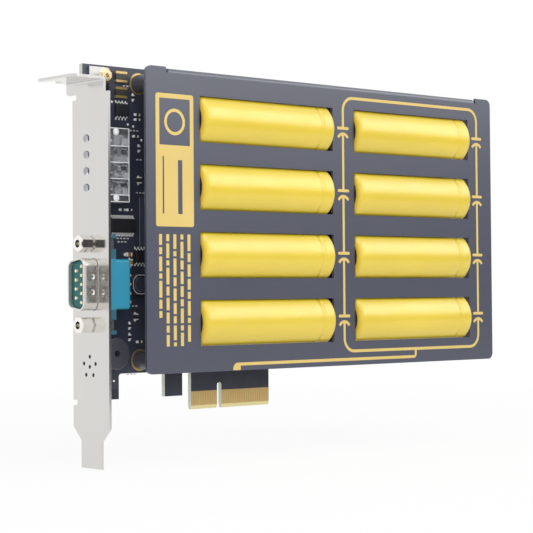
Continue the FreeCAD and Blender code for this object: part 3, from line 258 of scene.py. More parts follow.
class StageSettings(bpy.types.PropertyGroup):
    """The studio: camera, lights and floor."""
    lens: amount("Lens", "Focal length in millimetres", 117.09)
    camera_place: bpy.props.FloatVectorProperty(
        name="Camera", description="Where the camera stands", subtype="TRANSLATION",
        default=(-0.3754, -0.4373, 0.0384))
    camera_turn: angle("Turn", "Camera turned to the right", 41.584)
    camera_tilt: angle("Tilt", "Camera tilted up", 1.750)
    camera_roll: angle("Roll", "Camera rolled", -0.398)
    shift_right: amount("Shift right", "Lens shift", 0.0372)
    shift_up: amount("Shift up", "Lens shift", -0.0525)
    ambient: amount("Ambient", "Light from all round", 0.50)
    key_power: amount("Key", "Power of the key light", 3.8)
    top_power: amount("Top", "Power of the overhead light", 2.6)
    fill_power: amount("Fill", "Power of the front light", 4.4)


SETTINGS = {
    "sleeve_settings": SleeveSettings,
    "print_settings": PrintSettings,
    "port_settings": PortSettings,
    "screw_settings": ScrewSettings,
    "solder_settings": SolderSettings,
    "finish_settings": FinishSettings,
    "stage_settings": StageSettings,
}


def settings(name):
    return getattr(bpy.context.scene, name)


class Nodes:
    """A node tree, with short ways to add nodes and to link them."""

    def __init__(self, tree):
        self.tree = tree

    def node(self, kind, **given):
        made = self.tree.nodes.new(kind)
        for label, value in given.items():
            setattr(made, label, value)
        return made

    def link(self, source, target):
        self.tree.links.new(source, target)

    def feed(self, node, *values):
        """Link values to a node's inputs in their order; gives the node's first output."""
        for value, socket in zip(values, node.inputs):
            self.link(value, socket)
        return node.outputs[0]

    def vector(self, operation, *values):
        """A sum of vectors, or the size of one along each axis."""
        return self.feed(self.node("ShaderNodeVectorMath", operation=operation), *values)

    def join(self, operation, total, *others):
        """Join values one after another, by a product or as the larger of two."""
        for value in others:
            total = self.feed(self.node("ShaderNodeMath", operation=operation), total, value)
        return total

    def place(self, label="Object"):
        """The place on the module, or the way that its surface faces."""
        return self.node("ShaderNodeTexCoord").outputs[label]

    def parts(self, value):
        """The X, Y and Z of a vector."""
        split = self.node("ShaderNodeSeparateXYZ")
        self.feed(split, value)
        return split.outputs

    def blend(self, mask, first, second):
        """The first shader, or the second where the mask is 1."""
        return self.feed(self.node("ShaderNodeMixShader"), mask, first, second)

    def seen_as_white(self):
        """A value of 1 for rays from the camera, mirrors and clear parts, and 0 for the light."""
        path = self.node("ShaderNodeLightPath").outputs
        return self.join("MAXIMUM", path["Is Camera Ray"], path["Is Glossy Ray"], path["Is Transmission Ray"])


def new_group(name, inputs, outputs):
    """An empty shader node group with the sockets that it is given."""
    group = bpy.data.node_groups.new(name, "ShaderNodeTree")
    for label, kind, default in inputs:
        socket = group.interface.new_socket(label, in_out="INPUT", socket_type=f"NodeSocket{kind}")
        socket.default_value = default
    for label in outputs:
        group.interface.new_socket(label, in_out="OUTPUT", socket_type="NodeSocketFloat")
    nodes = Nodes(group)
    return nodes, nodes.node("NodeGroupInput").outputs, nodes.node("NodeGroupOutput").inputs


def mottle_group():
    """Soft uneven tone: a clouded mask and a fine grain to raise bumps with."""
    scales = [("Cloud Scale", "Float", 60.0), ("Grain Scale", "Float", 900.0)]
    stretch = ("Stretch", "Vector", (1.0, 1.0, 1.0))
    nodes, given, put = new_group("Mottle", [*scales, stretch], ["Cloud", "Grain"])
    stretched = nodes.vector("MULTIPLY", nodes.place(), given["Stretch"])
    for label, detail in (("Cloud", 3.0), ("Grain", 2.0)):
        cells = nodes.node("ShaderNodeTexNoise")
        cells.inputs["Detail"].default_value = detail
        nodes.link(stretched, cells.inputs["Vector"])
        nodes.link(given[f"{label} Scale"], cells.inputs["Scale"])
        nodes.link(cells.outputs["Fac"], put[label])
    return nodes.tree


def facing_group():
    """How squarely the surface faces each axis of the module, from 0 to 1."""
    nodes, _, put = new_group("Facing", [], "XYZ")
    parts = nodes.parts(nodes.vector("ABSOLUTE", nodes.place("Normal")))
    for label in "XYZ":
        nodes.link(parts[label], put[label])
    return nodes.tree


def zone_group():
    """A mask that is 1 inside a box of the module and fades to 0 outside it."""
    box = [("Middle", "Vector", (0.0, 0.0, 0.0)), ("Half", "Vector", (1.0, 1.0, 1.0))]
    nodes, given, put = new_group("Zone", [*box, ("Fade", "Float", 0.0001)], ["Mask"])
    away = nodes.vector("ABSOLUTE", nodes.vector("SUBTRACT", nodes.place(), given["Middle"]))
    parts = nodes.parts(nodes.vector("SUBTRACT", away, given["Half"]))
    span = nodes.node("ShaderNodeMapRange")
    span.inputs["To Min"].default_value = 1.0
    span.inputs["To Max"].default_value = 0.0
    nodes.link(nodes.join("MAXIMUM", *parts), span.inputs["Value"])
    nodes.link(given["Fade"], span.inputs["From Max"])
    nodes.link(span.outputs["Result"], put["Mask"])
    return nodes.tree


SHARED = {"Mottle": mottle_group, "Facing": facing_group, "Zone": zone_group}


def shared_group(name):
    return bpy.data.node_groups.get(name) or SHARED[name]()


class Finish(Nodes):
    """One material with a Principled shader, toned and grained by the shared groups."""

    def __init__(self, name, metallic=0.0, ior=1.5):
        self.material = bpy.data.materials.new(name)
        self.material.use_nodes = True
        super().__init__(self.material.node_tree)
        self.shader = self.tree.nodes["Principled BSDF"]
        self.shader.inputs["Metallic"].default_value = metallic
        self.shader.inputs["IOR"].default_value = ior

    def group(self, name, **values):
        placed = self.node("ShaderNodeGroup", node_tree=shared_group(name))
        for label, value in values.items():
            placed.inputs[label.replace("_", " ")].default_value = value
        return placed

    def tone(self, cloud=60.0, grain=900.0, stretch=(1.0, 1.0, 1.0)):
        self.mottle = self.group("Mottle", Cloud_Scale=cloud, Grain_Scale=grain, Stretch=stretch)
        return self

    def facing(self, axis, low, high):
        """A mask that rises from 0 to 1 as the surface turns to face an axis."""
        return self.spread(self.group("Facing").outputs[axis], 0.0, 1.0, low, high)

    def zone(self, low, high, fade=0.05 * MM):
        """A mask for the box between two corners."""
        low, high = Vector(low), Vector(high)
        return self.group("Zone", Middle=(low + high) / 2, Half=(high - low) / 2, Fade=fade).outputs["Mask"]

    def mix(self, mask, first, second):
        """A colour that runs from the first to the second as the mask goes from 0 to 1."""
        blend = self.node("ShaderNodeMix", data_type="RGBA")
        self.link(mask, blend.inputs[0])
        for socket, value in ((blend.inputs[6], first), (blend.inputs[7], second)):
            if isinstance(value, bpy.types.NodeSocket):
                self.link(value, socket)
            else:
                socket.default_value = (*value, 1.0)
        return blend.outputs[2]

    def spread(self, value, low, high, start=0.3, stop=0.7):
        """A mask stretched from its usual range to the range that is wanted."""
        span = self.node("ShaderNodeMapRange")
        self.link(value, span.inputs["Value"])
        for label, number in (("From Min", start), ("From Max", stop), ("To Min", low), ("To Max", high)):
            span.inputs[label].default_value = number
        return span.outputs["Result"]

    def clouded(self, tint, variation):
        """A colour with soft lighter and darker clouds."""
        dark = [channel * (1 - variation) for channel in tint]
        light = [min(1.0, channel * (1 + variation)) for channel in tint]
        return self.mix(self.spread(self.mottle.outputs["Cloud"], 0.0, 1.0), dark, light)

    def colour(self, toned):
        self.link(toned, self.shader.inputs["Base Color"])

    def rough(self, low, high):
        self.link(self.spread(self.mottle.outputs["Grain"], low, high), self.shader.inputs["Roughness"])

    def bump(self, strength, distance=0.2 * MM):
        raised = self.node("ShaderNodeBump")
        raised.inputs["Strength"].default_value = strength
        raised.inputs["Distance"].default_value = distance
        self.link(self.mottle.outputs["Grain"], raised.inputs["Height"])
        self.link(raised.outputs["Normal"], self.shader.inputs["Normal"])

    def done(self, toned, low, high, strength, distance=0.2 * MM):
        """Lay the colour, the grained roughness between two limits and the raised grain."""
        self.colour(toned)
        self.rough(low, high)
        self.bump(strength, distance)
        return self.material


def plain_finish(name, tint, low, high, metallic=0.0, variation=0.08, cloud=60.0, grain=900.0,
                 strength=0.06, ior=1.5):
    """A clouded colour with a grained roughness between two limits."""
    finish = Finish(name, metallic, ior).tone(cloud, grain)
    return finish.done(finish.clouded(tint, variation), low, high, strength)


def bracket_nickel(tints):
    """Bright rolled plate, with painted shade on the walls of the sound holes, far darker than their punched
    steel.
    """
    finish = Finish("bracket_nickel", metallic=1.0).tone(25.0, 500.0, (1.0, 1.0, 0.08))
    low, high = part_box("buzzer")
    level = (low.z + high.z) / 2 - SOUND_DROP
    front, behind = BRACKET_FACE - 0.05 * MM, BRACKET_FACE + 0.95 * MM
    around = finish.zone((front, SOUND_Y - SOUND_REACH, level - SOUND_REACH),
                         (behind, SOUND_Y + SOUND_REACH, level + SOUND_REACH))
    # Painted shade: the walls of the sound holes are made near black.
    walls = finish.join("MULTIPLY", around, finish.facing("X", 0.6, 0.4))
    toned = finish.mix(walls, finish.clouded(tints.nickel, 0.02), tints.sound_hole_shade)
    return finish.done(toned, 0.10, 0.17, 0.015)


def board_mask(tints):
    """Dark lacquer with the bare laminate showing at the cut edges and between the contacts, a lighter copper
    area by the transceiver, and painted light on the strip by the bracket.
    """
    finish = Finish("board_mask").tone(140.0, 1400.0)
    low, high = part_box("edge_contacts")
    bare_low = Vector((low.x - 2 * MM, low.y - MM, BOARD_LOW.z - MM))
    bare_high = Vector((high.x + 2 * MM, high.y + MM, high.z + 0.2 * MM))
    bevel_high = Vector((bare_high.x, bare_high.y, BOARD_LOW.z + BEVEL))
    # Painted light: the strip by the bracket takes a lighter lacquer tone.
    painted_light_low = Vector((BRACKET_FACE, BOARD_LOW.y - MM, PAINTED_LIGHT_FOOT))
    painted_light_high = Vector((PAINTED_LIGHT_END, BOARD_LOW.y + 0.3 * MM, BOARD_HIGH.z + MM))
    pour_low = Vector((POUR_LEFT, painted_light_low.y, POUR_LOW))
    pour_high = Vector((painted_light_high.x, painted_light_high.y, POUR_HIGH))
    toned = finish.clouded(tints.mask, 0.22)
    for start, stop, tint in ((painted_light_low, painted_light_high, tints.plane), (pour_low, pour_high, tints.pour),
                              (bare_low, bare_high, tints.bare), (bare_low, bevel_high, tints.bevel)):
        toned = finish.mix(finish.zone(start, stop), toned, tint)
    toned = finish.mix(finish.facing("Y", 0.6, 0.8), tints.laminate, toned)
    return finish.done(toned, 0.30, 0.42, 0.08)


def sleeve_film(tints):
    """Glossy shrunk film, with painted shade where it turns in at its ends."""
    finish = Finish("sleeve_film", ior=1.8).tone(45.0, 220.0, (0.5, 1.0, 1.0))
    # Painted shade: the film where it turns in at its ends is darker and more orange.
    drawn = finish.facing("X", 0.4, 0.95)
    toned = finish.mix(drawn, finish.clouded(tints.film, 0.05), tints.film_end_shade)
    return finish.done(toned, 0.28, 0.38, 0.06, 0.5 * MM)


def port_teal(tints):
    """Moulded housing, with painted shade on the thin flange above and below the block and inside the shell.
    """
    finish = Finish("port_teal").tone(60.0, 1400.0)
    low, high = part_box("serial_housing")
    margin = Vector((MM, MM, MM))
    near, far = low - margin, high + margin
    middle = (low.z + high.z) / 2
    block = finish.zone((near.x, near.y, middle - HOUSING_HALF), (far.x, far.y, middle + HOUSING_HALF))
    inside = finish.zone(near, (BRACKET_FACE, far.y, far.z))
    # Painted shade: a darker teal on the flange above and below the block, and a deeper one on the housing
    # inside the shell.
    toned = finish.mix(block, tints.shaded_teal, finish.clouded(tints.teal, 0.05))
    return finish.done(finish.mix(inside, toned, tints.shell_shade_teal), 0.38, 0.48, 0.05)


def port_nickel(tints):
    """Drawn plate, a little uneven, dulled along its rim and where it meets the bracket."""
    finish = Finish("port_nickel", metallic=1.0).tone(60.0, 420.0)
    finish.colour(finish.clouded(tints.shell, 0.04))
    low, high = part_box("serial_shell")
    rough = finish.spread(finish.mottle.outputs["Grain"], 0.20, 0.32)
    for start, stop in ((low.x - MM, low.x + 0.9 * MM), (BRACKET_FACE - 0.35 * MM, BRACKET_FACE)):
        band = finish.zone((start, low.y - MM, low.z - MM), (stop, high.y + MM, high.z + MM), 0.3 * MM)
        rough = finish.join("MAXIMUM", rough, finish.spread(band, 0.0, 0.5, 0.0, 1.0))
    finish.link(rough, finish.shader.inputs["Roughness"])
    finish.bump(0.12)
    return finish.material


def can_aluminium(tints):
    """Drawn cans, with painted shade on their ends: dark and not metal there."""
    finish = Finish("can_aluminium").tone(60.0, 900.0)
    # Painted shade: the ends of the cans, facing along X, are dark.
    end = finish.facing("X", 0.85, 0.95)
    finish.link(finish.spread(end, 1.0, 0.0, 0.0, 1.0), finish.shader.inputs["Metallic"])
    toned = finish.mix(end, finish.clouded(tints.aluminium, 0.04), tints.can_end_shade)
    return finish.done(toned, 0.30, 0.42, 0.02)


def clear_plastic(name, tint, low, high, transmission):
    """Clear moulded plastic, more or less matt from its mould."""
    finish = Finish(name, ior=1.49).tone(200.0, 1200.0)
    finish.shader.inputs["Transmission Weight"].default_value = transmission
    return finish.done(finish.clouded(tint, 0.05), low, high, 0.04)


def ceramic_tan(tints):
    """Tan bodies beside the charger, dark ones elsewhere."""
    finish = Finish("ceramic_tan").tone()
    low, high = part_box("charger")
    around = Vector((CHARGER_REACH, CHARGER_REACH, CHARGER_REACH))
    beside = finish.zone(low - around, high + around)
    toned = finish.mix(beside, tints.dark_ceramic, finish.clouded(tints.ceramic, 0.08))
    return finish.done(toned, 0.4, 0.55, 0.06)


def slot_finishes():
    """The material of each of the record's slots."""
    tints = settings("finish_settings")
    metal = {"metallic": 1.0, "variation": 0.04, "strength": 0.01}
    solder = {"metallic": 0.15, "variation": 0.04, "strength": 0.02}
    fine = {"grain": 2400.0, "strength": 0.1}
    return {
        "bracket_nickel": bracket_nickel(tints),
        "board_mask": board_mask(tints),
        "contact_gold": plain_finish("contact_gold", tints.gold, 0.30, 0.42, metallic=0.7, variation=0.04,
                                     cloud=300.0, strength=0.004),
        "cover_paint": plain_finish("cover_paint", tints.paint, 0.29, 0.31, variation=0.03, cloud=30.0,
                                    grain=1600.0, strength=0.006, ior=1.7),
        "sleeve_yellow": sleeve_film(tints),
        "can_aluminium": can_aluminium(tints),
        "tinned_wire": plain_finish("tinned_wire", tints.tin, 0.28, 0.40, cloud=500.0, **solder),
        "port_teal": port_teal(tints),
        "port_nickel": port_nickel(tints),
        "screw_steel": plain_finish("screw_steel", tints.steel, 0.10, 0.16, **metal),
        "guide_clear": clear_plastic("light_pipe_clear", tints.clear, 0.02, 0.05, 0.94),
        "lamp_white": plain_finish("lamp_white", tints.lamp, 0.25, 0.35),
        "mould_black": plain_finish("mould_black", tints.epoxy, 0.48, 0.62, **fine),
        "buzzer_grey": plain_finish("buzzer_grey", tints.sounder, 0.42, 0.54, **fine),
        "ferrite_grey": plain_finish("ferrite_grey", tints.ferrite, 0.34, 0.5, **fine),
        "fuse_brown": plain_finish("fuse_brown", tints.polymer, 0.4, 0.55),
        "ceramic_tan": ceramic_tan(tints),
        "standoff_black": plain_finish("standoff_black", tints.blackened, 0.30, 0.42),
        "rivet_brass": plain_finish("rivet_brass", tints.brass, 0.2, 0.32, **metal),
    }


FINISHES = {}


def slot_finish(slot):
    if not FINISHES:
        FINISHES.update(slot_finishes())
    return FINISHES[slot]


def dress(*nodes, finish=None):
    """Give CAD nodes the finish of their slots, or a finish of their own."""
    for node in nodes:
        mesh = frame["nodes"][node].data
        mesh.materials.clear()
        mesh.materials.append(finish or slot_finish(SLOT_OF[node]))


def to_mesh(name, shape, sharp=35.0, smooth=True, flat=1.0):
    """Close up a bmesh and make it a mesh; faces of the flat area and over stay flat."""
    bmesh.ops.recalc_face_normals(shape, faces=shape.faces)
    for face in shape.faces:
        face.smooth = smooth
    mesh = bpy.data.meshes.new(name)
    shape.to_mesh(mesh)
    shape.free()
    if smooth:
        mesh.set_sharp_from_angle(angle=math.radians(sharp))
        for face in mesh.polygons:
            face.use_smooth = face.area < flat
    return mesh


def finish_piece(name, shape, slot, material=None, **looks):
    """Turn a bmesh into a finished piece that rides on the module."""
    mesh = to_mesh(name, shape, **looks)
    mesh.materials.append(material or slot_finish(slot))
    piece = bpy.data.objects.new(name, mesh)
    bpy.context.scene.collection.objects.link(piece)
    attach(piece, BODY)
    return piece


def only(kind, items):
    """The corners, or the edges, of what a bmesh operator gives back."""
    return [item for item in items if isinstance(item, kind)]


def slice_through(shape, point, normal, **more):
    """Cut a whole shape along a plane; gives what lies on the cut."""
    whole = shape.verts[:] + shape.edges[:] + shape.faces[:]
    return bmesh.ops.bisect_plane(shape, geom=whole, plane_co=point, plane_no=normal, **more)["geom_cut"]


def round_corners(shape, corners, radius, segments=4):
    bmesh.ops.bevel(shape, geom=corners, offset=radius, offset_type="OFFSET", segments=segments,
                    profile=0.5, affect="VERTICES", material=-1)


def lathe(shape, outline, centre, axis, steps, rounds=(), longest=1.0):
    """Round the listed corners of a closed outline and spin it all the way round an axis."""
    corners = [shape.verts.new(point) for point in outline]
    shape.faces.new(corners)
    for radius, listed in rounds:
        round_corners(shape, [corners[i] for i in listed], radius, 6)
    bmesh.ops.delete(shape, geom=shape.faces[:], context="FACES_ONLY")
    runs = [edge for edge in shape.edges if edge.calc_length() > longest]
    bmesh.ops.subdivide_edges(shape, edges=runs, cuts=16)
    bmesh.ops.spin(shape, geom=shape.verts[:] + shape.edges[:], cent=centre, axis=axis,
                   angle=2 * math.pi, steps=steps, use_merge=True, use_duplicate=False)
    bmesh.ops.remove_doubles(shape, verts=shape.verts, dist=WELD)


def open_rim(shape, axis, level):
    """The open edges of a shape at one level along an axis."""
    return [edge for edge in shape.edges
            if edge.is_boundary and all(abs(vert.co[axis] - level) < SNAP for vert in edge.verts)]


def close_end(shape, rim, place, radius, depth, segments=24):
    """Close an open end round a bore, a socket or a shank that runs along the place's Z axis."""
    made = bmesh.ops.create_circle(shape, cap_ends=False, segments=segments, radius=radius, matrix=place)
    circle = list(dict.fromkeys(edge for vert in made["verts"] for edge in vert.link_edges))
    bmesh.ops.bridge_loops(shape, edges=rim + circle)
    drawn = bmesh.ops.extrude_edge_only(shape, edges=circle)["geom"]
    run = place.to_3x3() @ Vector((0.0, 0.0, depth))
    bmesh.ops.translate(shape, verts=only(bmesh.types.BMVert, drawn), vec=run)
    end = [edge for edge in only(bmesh.types.BMEdge, drawn) if edge.is_boundary]
    bmesh.ops.edgeloop_fill(shape, edges=end)


def turned_mesh(name, base, outline, steps):
    """A small mesh turned round the Y axis, from the radii and rises of its closed outline."""
    shape = bmesh.new()
    section = [(0.0, base + rise, radius) for radius, rise in outline]
    lathe(shape, section, (0.0, base, 0.0), ALONG_Y, steps)
    return to_mesh(name, shape)


def dome_mesh(name, radius, rise, out, around, up):
    """A low closed dome that stands out along an axis from its middle."""
    shape = bmesh.new()
    bmesh.ops.create_uvsphere(shape, u_segments=around, v_segments=up, radius=radius)
    slice_through(shape, (0.0, 0.0, 0.0), ALONG_Z, dist=WELD, clear_inner=True)
    rim = [edge for edge in shape.edges if edge.is_boundary]
    bmesh.ops.edgeloop_fill(shape, edges=rim)
    bmesh.ops.scale(shape, verts=shape.verts, vec=(1.0, 1.0, rise / radius))
    bmesh.ops.rotate(shape, verts=shape.verts, matrix=out.to_track_quat("Z", "Y").to_matrix())
    return to_mesh(name, shape)


def stamped_piece(name, slot, copies, material=None, **looks):
    """A piece of many copies: small meshes, each with the places where it is set."""
    shape = bmesh.new()
    for mesh, places in copies:
        for place in places:
            before = len(shape.verts)
            shape.from_mesh(mesh)
            shape.verts.ensure_lookup_table()
            bmesh.ops.translate(shape, verts=shape.verts[before:], vec=place)
        bpy.data.meshes.remove(mesh)
    return finish_piece(name, shape, slot, material, **looks)


def flat_field(shape, point, left, right, low, high, rounding=0.0, segments=4):
    """A flat field on the surface that the point function gives, with rounded corners."""
    places = [(left, low), (right, low), (right, high), (left, high)]
    corners = [shape.verts.new(point(*place)) for place in places]
    shape.faces.new(corners)
    if rounding:
        round_corners(shape, corners, rounding, segments)


def flat_frame(shape, point, left, right, low, high, line, rounding=0.0, segments=10):
    """A flat frame of one line."""
    field = bmesh.new()
    flat_field(field, point, left, right, low, high, rounding, segments)
    field.normal_update()
    bmesh.ops.inset_region(field, faces=field.faces[:], thickness=line, use_boundary=True,
                           use_even_offset=True)
    core = max(field.faces, key=lambda face: face.calc_area())
    bmesh.ops.delete(field, geom=[core], context="FACES")
    mesh = bpy.data.meshes.new("frame")
    field.to_mesh(mesh)
    field.free()
    shape.from_mesh(mesh)
    bpy.data.meshes.remove(mesh)


def printed_piece(name, draw, thickness, slot, material, *given):
    """A piece of flat print: a function draws it, and it gets its thickness along Y."""
    shape = bmesh.new()
    draw(shape, *given)
    raised = bmesh.ops.extrude_face_region(shape, geom=shape.faces[:])
    moved = only(bmesh.types.BMVert, raised["geom"])
    bmesh.ops.translate(shape, verts=moved, vec=(0.0, thickness, 0.0))
    finish_piece(name, shape, slot, material, smooth=False)


def upright(y, left=0.0, low=0.0):
    """A flat upright surface: gives a point of it from a distance across and a height."""
    return lambda across, up: Vector((left + across, y, low + up))


cover_point = upright(COVER_LOW.y, COVER_LOW.x, COVER_LOW.z)
board_point = upright(BOARD_LOW.y)
board_back_point = upright(BOARD_HIGH.y)


def wire_ends(number):
    """Where a cell's two wires come through the board: their X, and the height of each."""
    low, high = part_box(f"capacitor_leads_{number}")
    return high.x - WIRE, (low.z + WIRE, high.z - WIRE)


class BACKUP_OT_bracket(bpy.types.Operator):
    """Plate the slot bracket and its rivets"""
    bl_idname = "backup_module.bracket"
    bl_label = "Slot Bracket"

    def execute(self, context):
        dress("bracket", "bracket_rivets")
        return {"FINISHED"}


class BACKUP_OT_board(bpy.types.Operator):
    """Lacquer the circuit board and lay its copper areas, its legend and its through holes"""
    bl_idname = "backup_module.board"
    bl_label = "Circuit Board"

    # Rows of marks beside the parts: X and Z of the first mark in millimetres, and how many.
    MARKS = ((-42.4, 55.3, 4), (-42.0, 54.2, 3), (-39.6, 103.9, 3), (-37.0, 89.8, 3),
             (-34.4, 80.6, 2), (-34.6, 70.0, 3), (-36.4, 33.8, 2), (-38.6, 12.2, 3))

    def execute(self, context):
        dress("circuit_board", "edge_contacts", "standoff_pads")
        tints = settings("finish_settings")
        lacquer = plain_finish("lacquer_on_copper", tints.copper, 0.28, 0.38, variation=0.15, cloud=140.0)
        white = plain_finish("legend_white", tints.legend, 0.5, 0.65, variation=0.06, cloud=400.0)
        printed_piece("board_copper", self.copper, 0.035 * MM, "board_mask", lacquer)
        printed_piece("board_legend_back", self.back_legend, 0.05 * MM, "board_mask", white)
        printed_piece("board_legend", self.legend, -0.02 * MM, "board_mask", white)
        self.holes()
        return {"FINISHED"}

    def columns(self):
        """The X of the wires in each column of cells, and their heights in order."""
        for first in (CELLS[0], CELLS[ROWS]):
            ends = [wire_ends(number) for number in range(first, first + ROWS)]
            yield ends[-1][0], sorted(level for _, pair in ends for level in pair)

    def copper(self, shape):
        """Areas that join the cells in a string, and the two rails at its ends."""
        half, lap, corner = 4.2 * MM, 2.6 * MM, 1.2 * MM
        columns = list(self.columns())
        areas = []
        for x, levels in columns:
            for i in range(1, len(levels) - 1, 2):
                areas.append((x, x, levels[i], levels[i + 1]))
        (left, levels), (right, _) = columns
        for level in (levels[0], levels[-1]):
            areas.append((left, right, level, level))
        for left, right, low, high in areas:
            flat_field(shape, board_back_point, left - half, right + half, low - lap, high + lap, corner)

    def back_legend(self, shape):
        """A plain outline round each pair of wires."""
        half, lap, line, corner = 5.2 * MM, 2 * MM, 0.25 * MM, 1.5 * MM
        for x, levels in self.columns():
            for low, high in zip(levels[::2], levels[1::2]):
                flat_frame(shape, board_back_point, x - half, x + half, low - lap, high + lap, line, corner)

    def legend(self, shape):
        """Short plain marks beside the parts, and one thin line along the copper area."""
        pitch, wide, tall, thin = 1.35, 0.85 * MM, 0.4, 0.08 * MM
        for x, z, count in self.MARKS:
            for i in range(count):
                left = (x + pitch * i) * MM
                flat_field(shape, board_point, left, left + wide, z * MM, (z + tall) * MM)
        flat_field(shape, board_point, POUR_LEFT, POUR_LEFT + thin, POUR_LOW, POUR_HIGH)

    def holes(self):
        """Plated through holes in rows along the rails."""
        hole, rim, rise = 0.2 * MM, 0.45 * MM, 0.03 * MM
        count, first, pitch = 12, 8.0, 4.4
        outline = ((hole, 0.0), (rim, 0.0), (rim, rise), (hole, rise))
        ring = turned_mesh("through_hole", BOARD_HIGH.y + rise, outline, steps=12)
        x, levels = next(self.columns())
        places = [(x + (first + pitch * i) * MM, 0.0, level)
                  for level in (levels[0], levels[-1]) for i in range(count)]
        stamped_piece("through_holes", "tinned_wire", [(ring, places)])


class BACKUP_OT_cover(bpy.types.Operator):
    """Paint the cover and finish what carries it"""
    bl_idname = "backup_module.cover"
    bl_label = "Cover"

    def execute(self, context):
        dress("cover", "standoffs")
        self.screws(settings("screw_settings"))
        return {"FINISHED"}

    def screws(self, sizes):
        """The four screws through the board: low heads with hexagonal sockets on plain shanks."""
        low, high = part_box("standoff_screws")
        seat, top = BOARD_HIGH.y, BOARD_HIGH.y + sizes.head_height
        back = Matrix.Rotation(-math.pi / 2, 4, "X")
        screw = bmesh.new()
        bmesh.ops.create_cone(screw, segments=32, radius1=sizes.head, radius2=sizes.crown,
                              depth=sizes.head_height, cap_ends=False, cap_tris=False,
                              matrix=Matrix.Translation((0.0, (seat + top) / 2, 0.0)) @ back)
        # The straight band's top, and the turn of the head: their height as a share, and their radius.
        for share, reach in ((sizes.band / sizes.head_height, sizes.head), (0.8, 0.88 * sizes.head)):
            level = seat + share * sizes.head_height
            ring = only(bmesh.types.BMVert, slice_through(screw, (0.0, level, 0.0), ALONG_Y))
            factor = reach / math.hypot(ring[0].co.x, ring[0].co.z)
            bmesh.ops.scale(screw, verts=ring, vec=(factor, 1.0, factor))
        for level, radius, depth, sides in ((top, sizes.socket, -sizes.socket_depth, 6),
                                            (seat, sizes.shank, low.y - seat, 24)):
            place = Matrix.Translation((0.0, level, 0.0)) @ back
            close_end(screw, open_rim(screw, 1, level), place, radius, depth, sides)
        across = (low.x + sizes.head, high.x - sizes.head)
        up = (low.z + sizes.head, high.z - sizes.head)
        copies = [(to_mesh("screw", screw), [(x, 0.0, z) for x in across for z in up])]
        piece = stamped_piece("cover_screws", SLOT_OF["standoff_screws"], copies, sharp=40.0)
        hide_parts("standoff_screws")


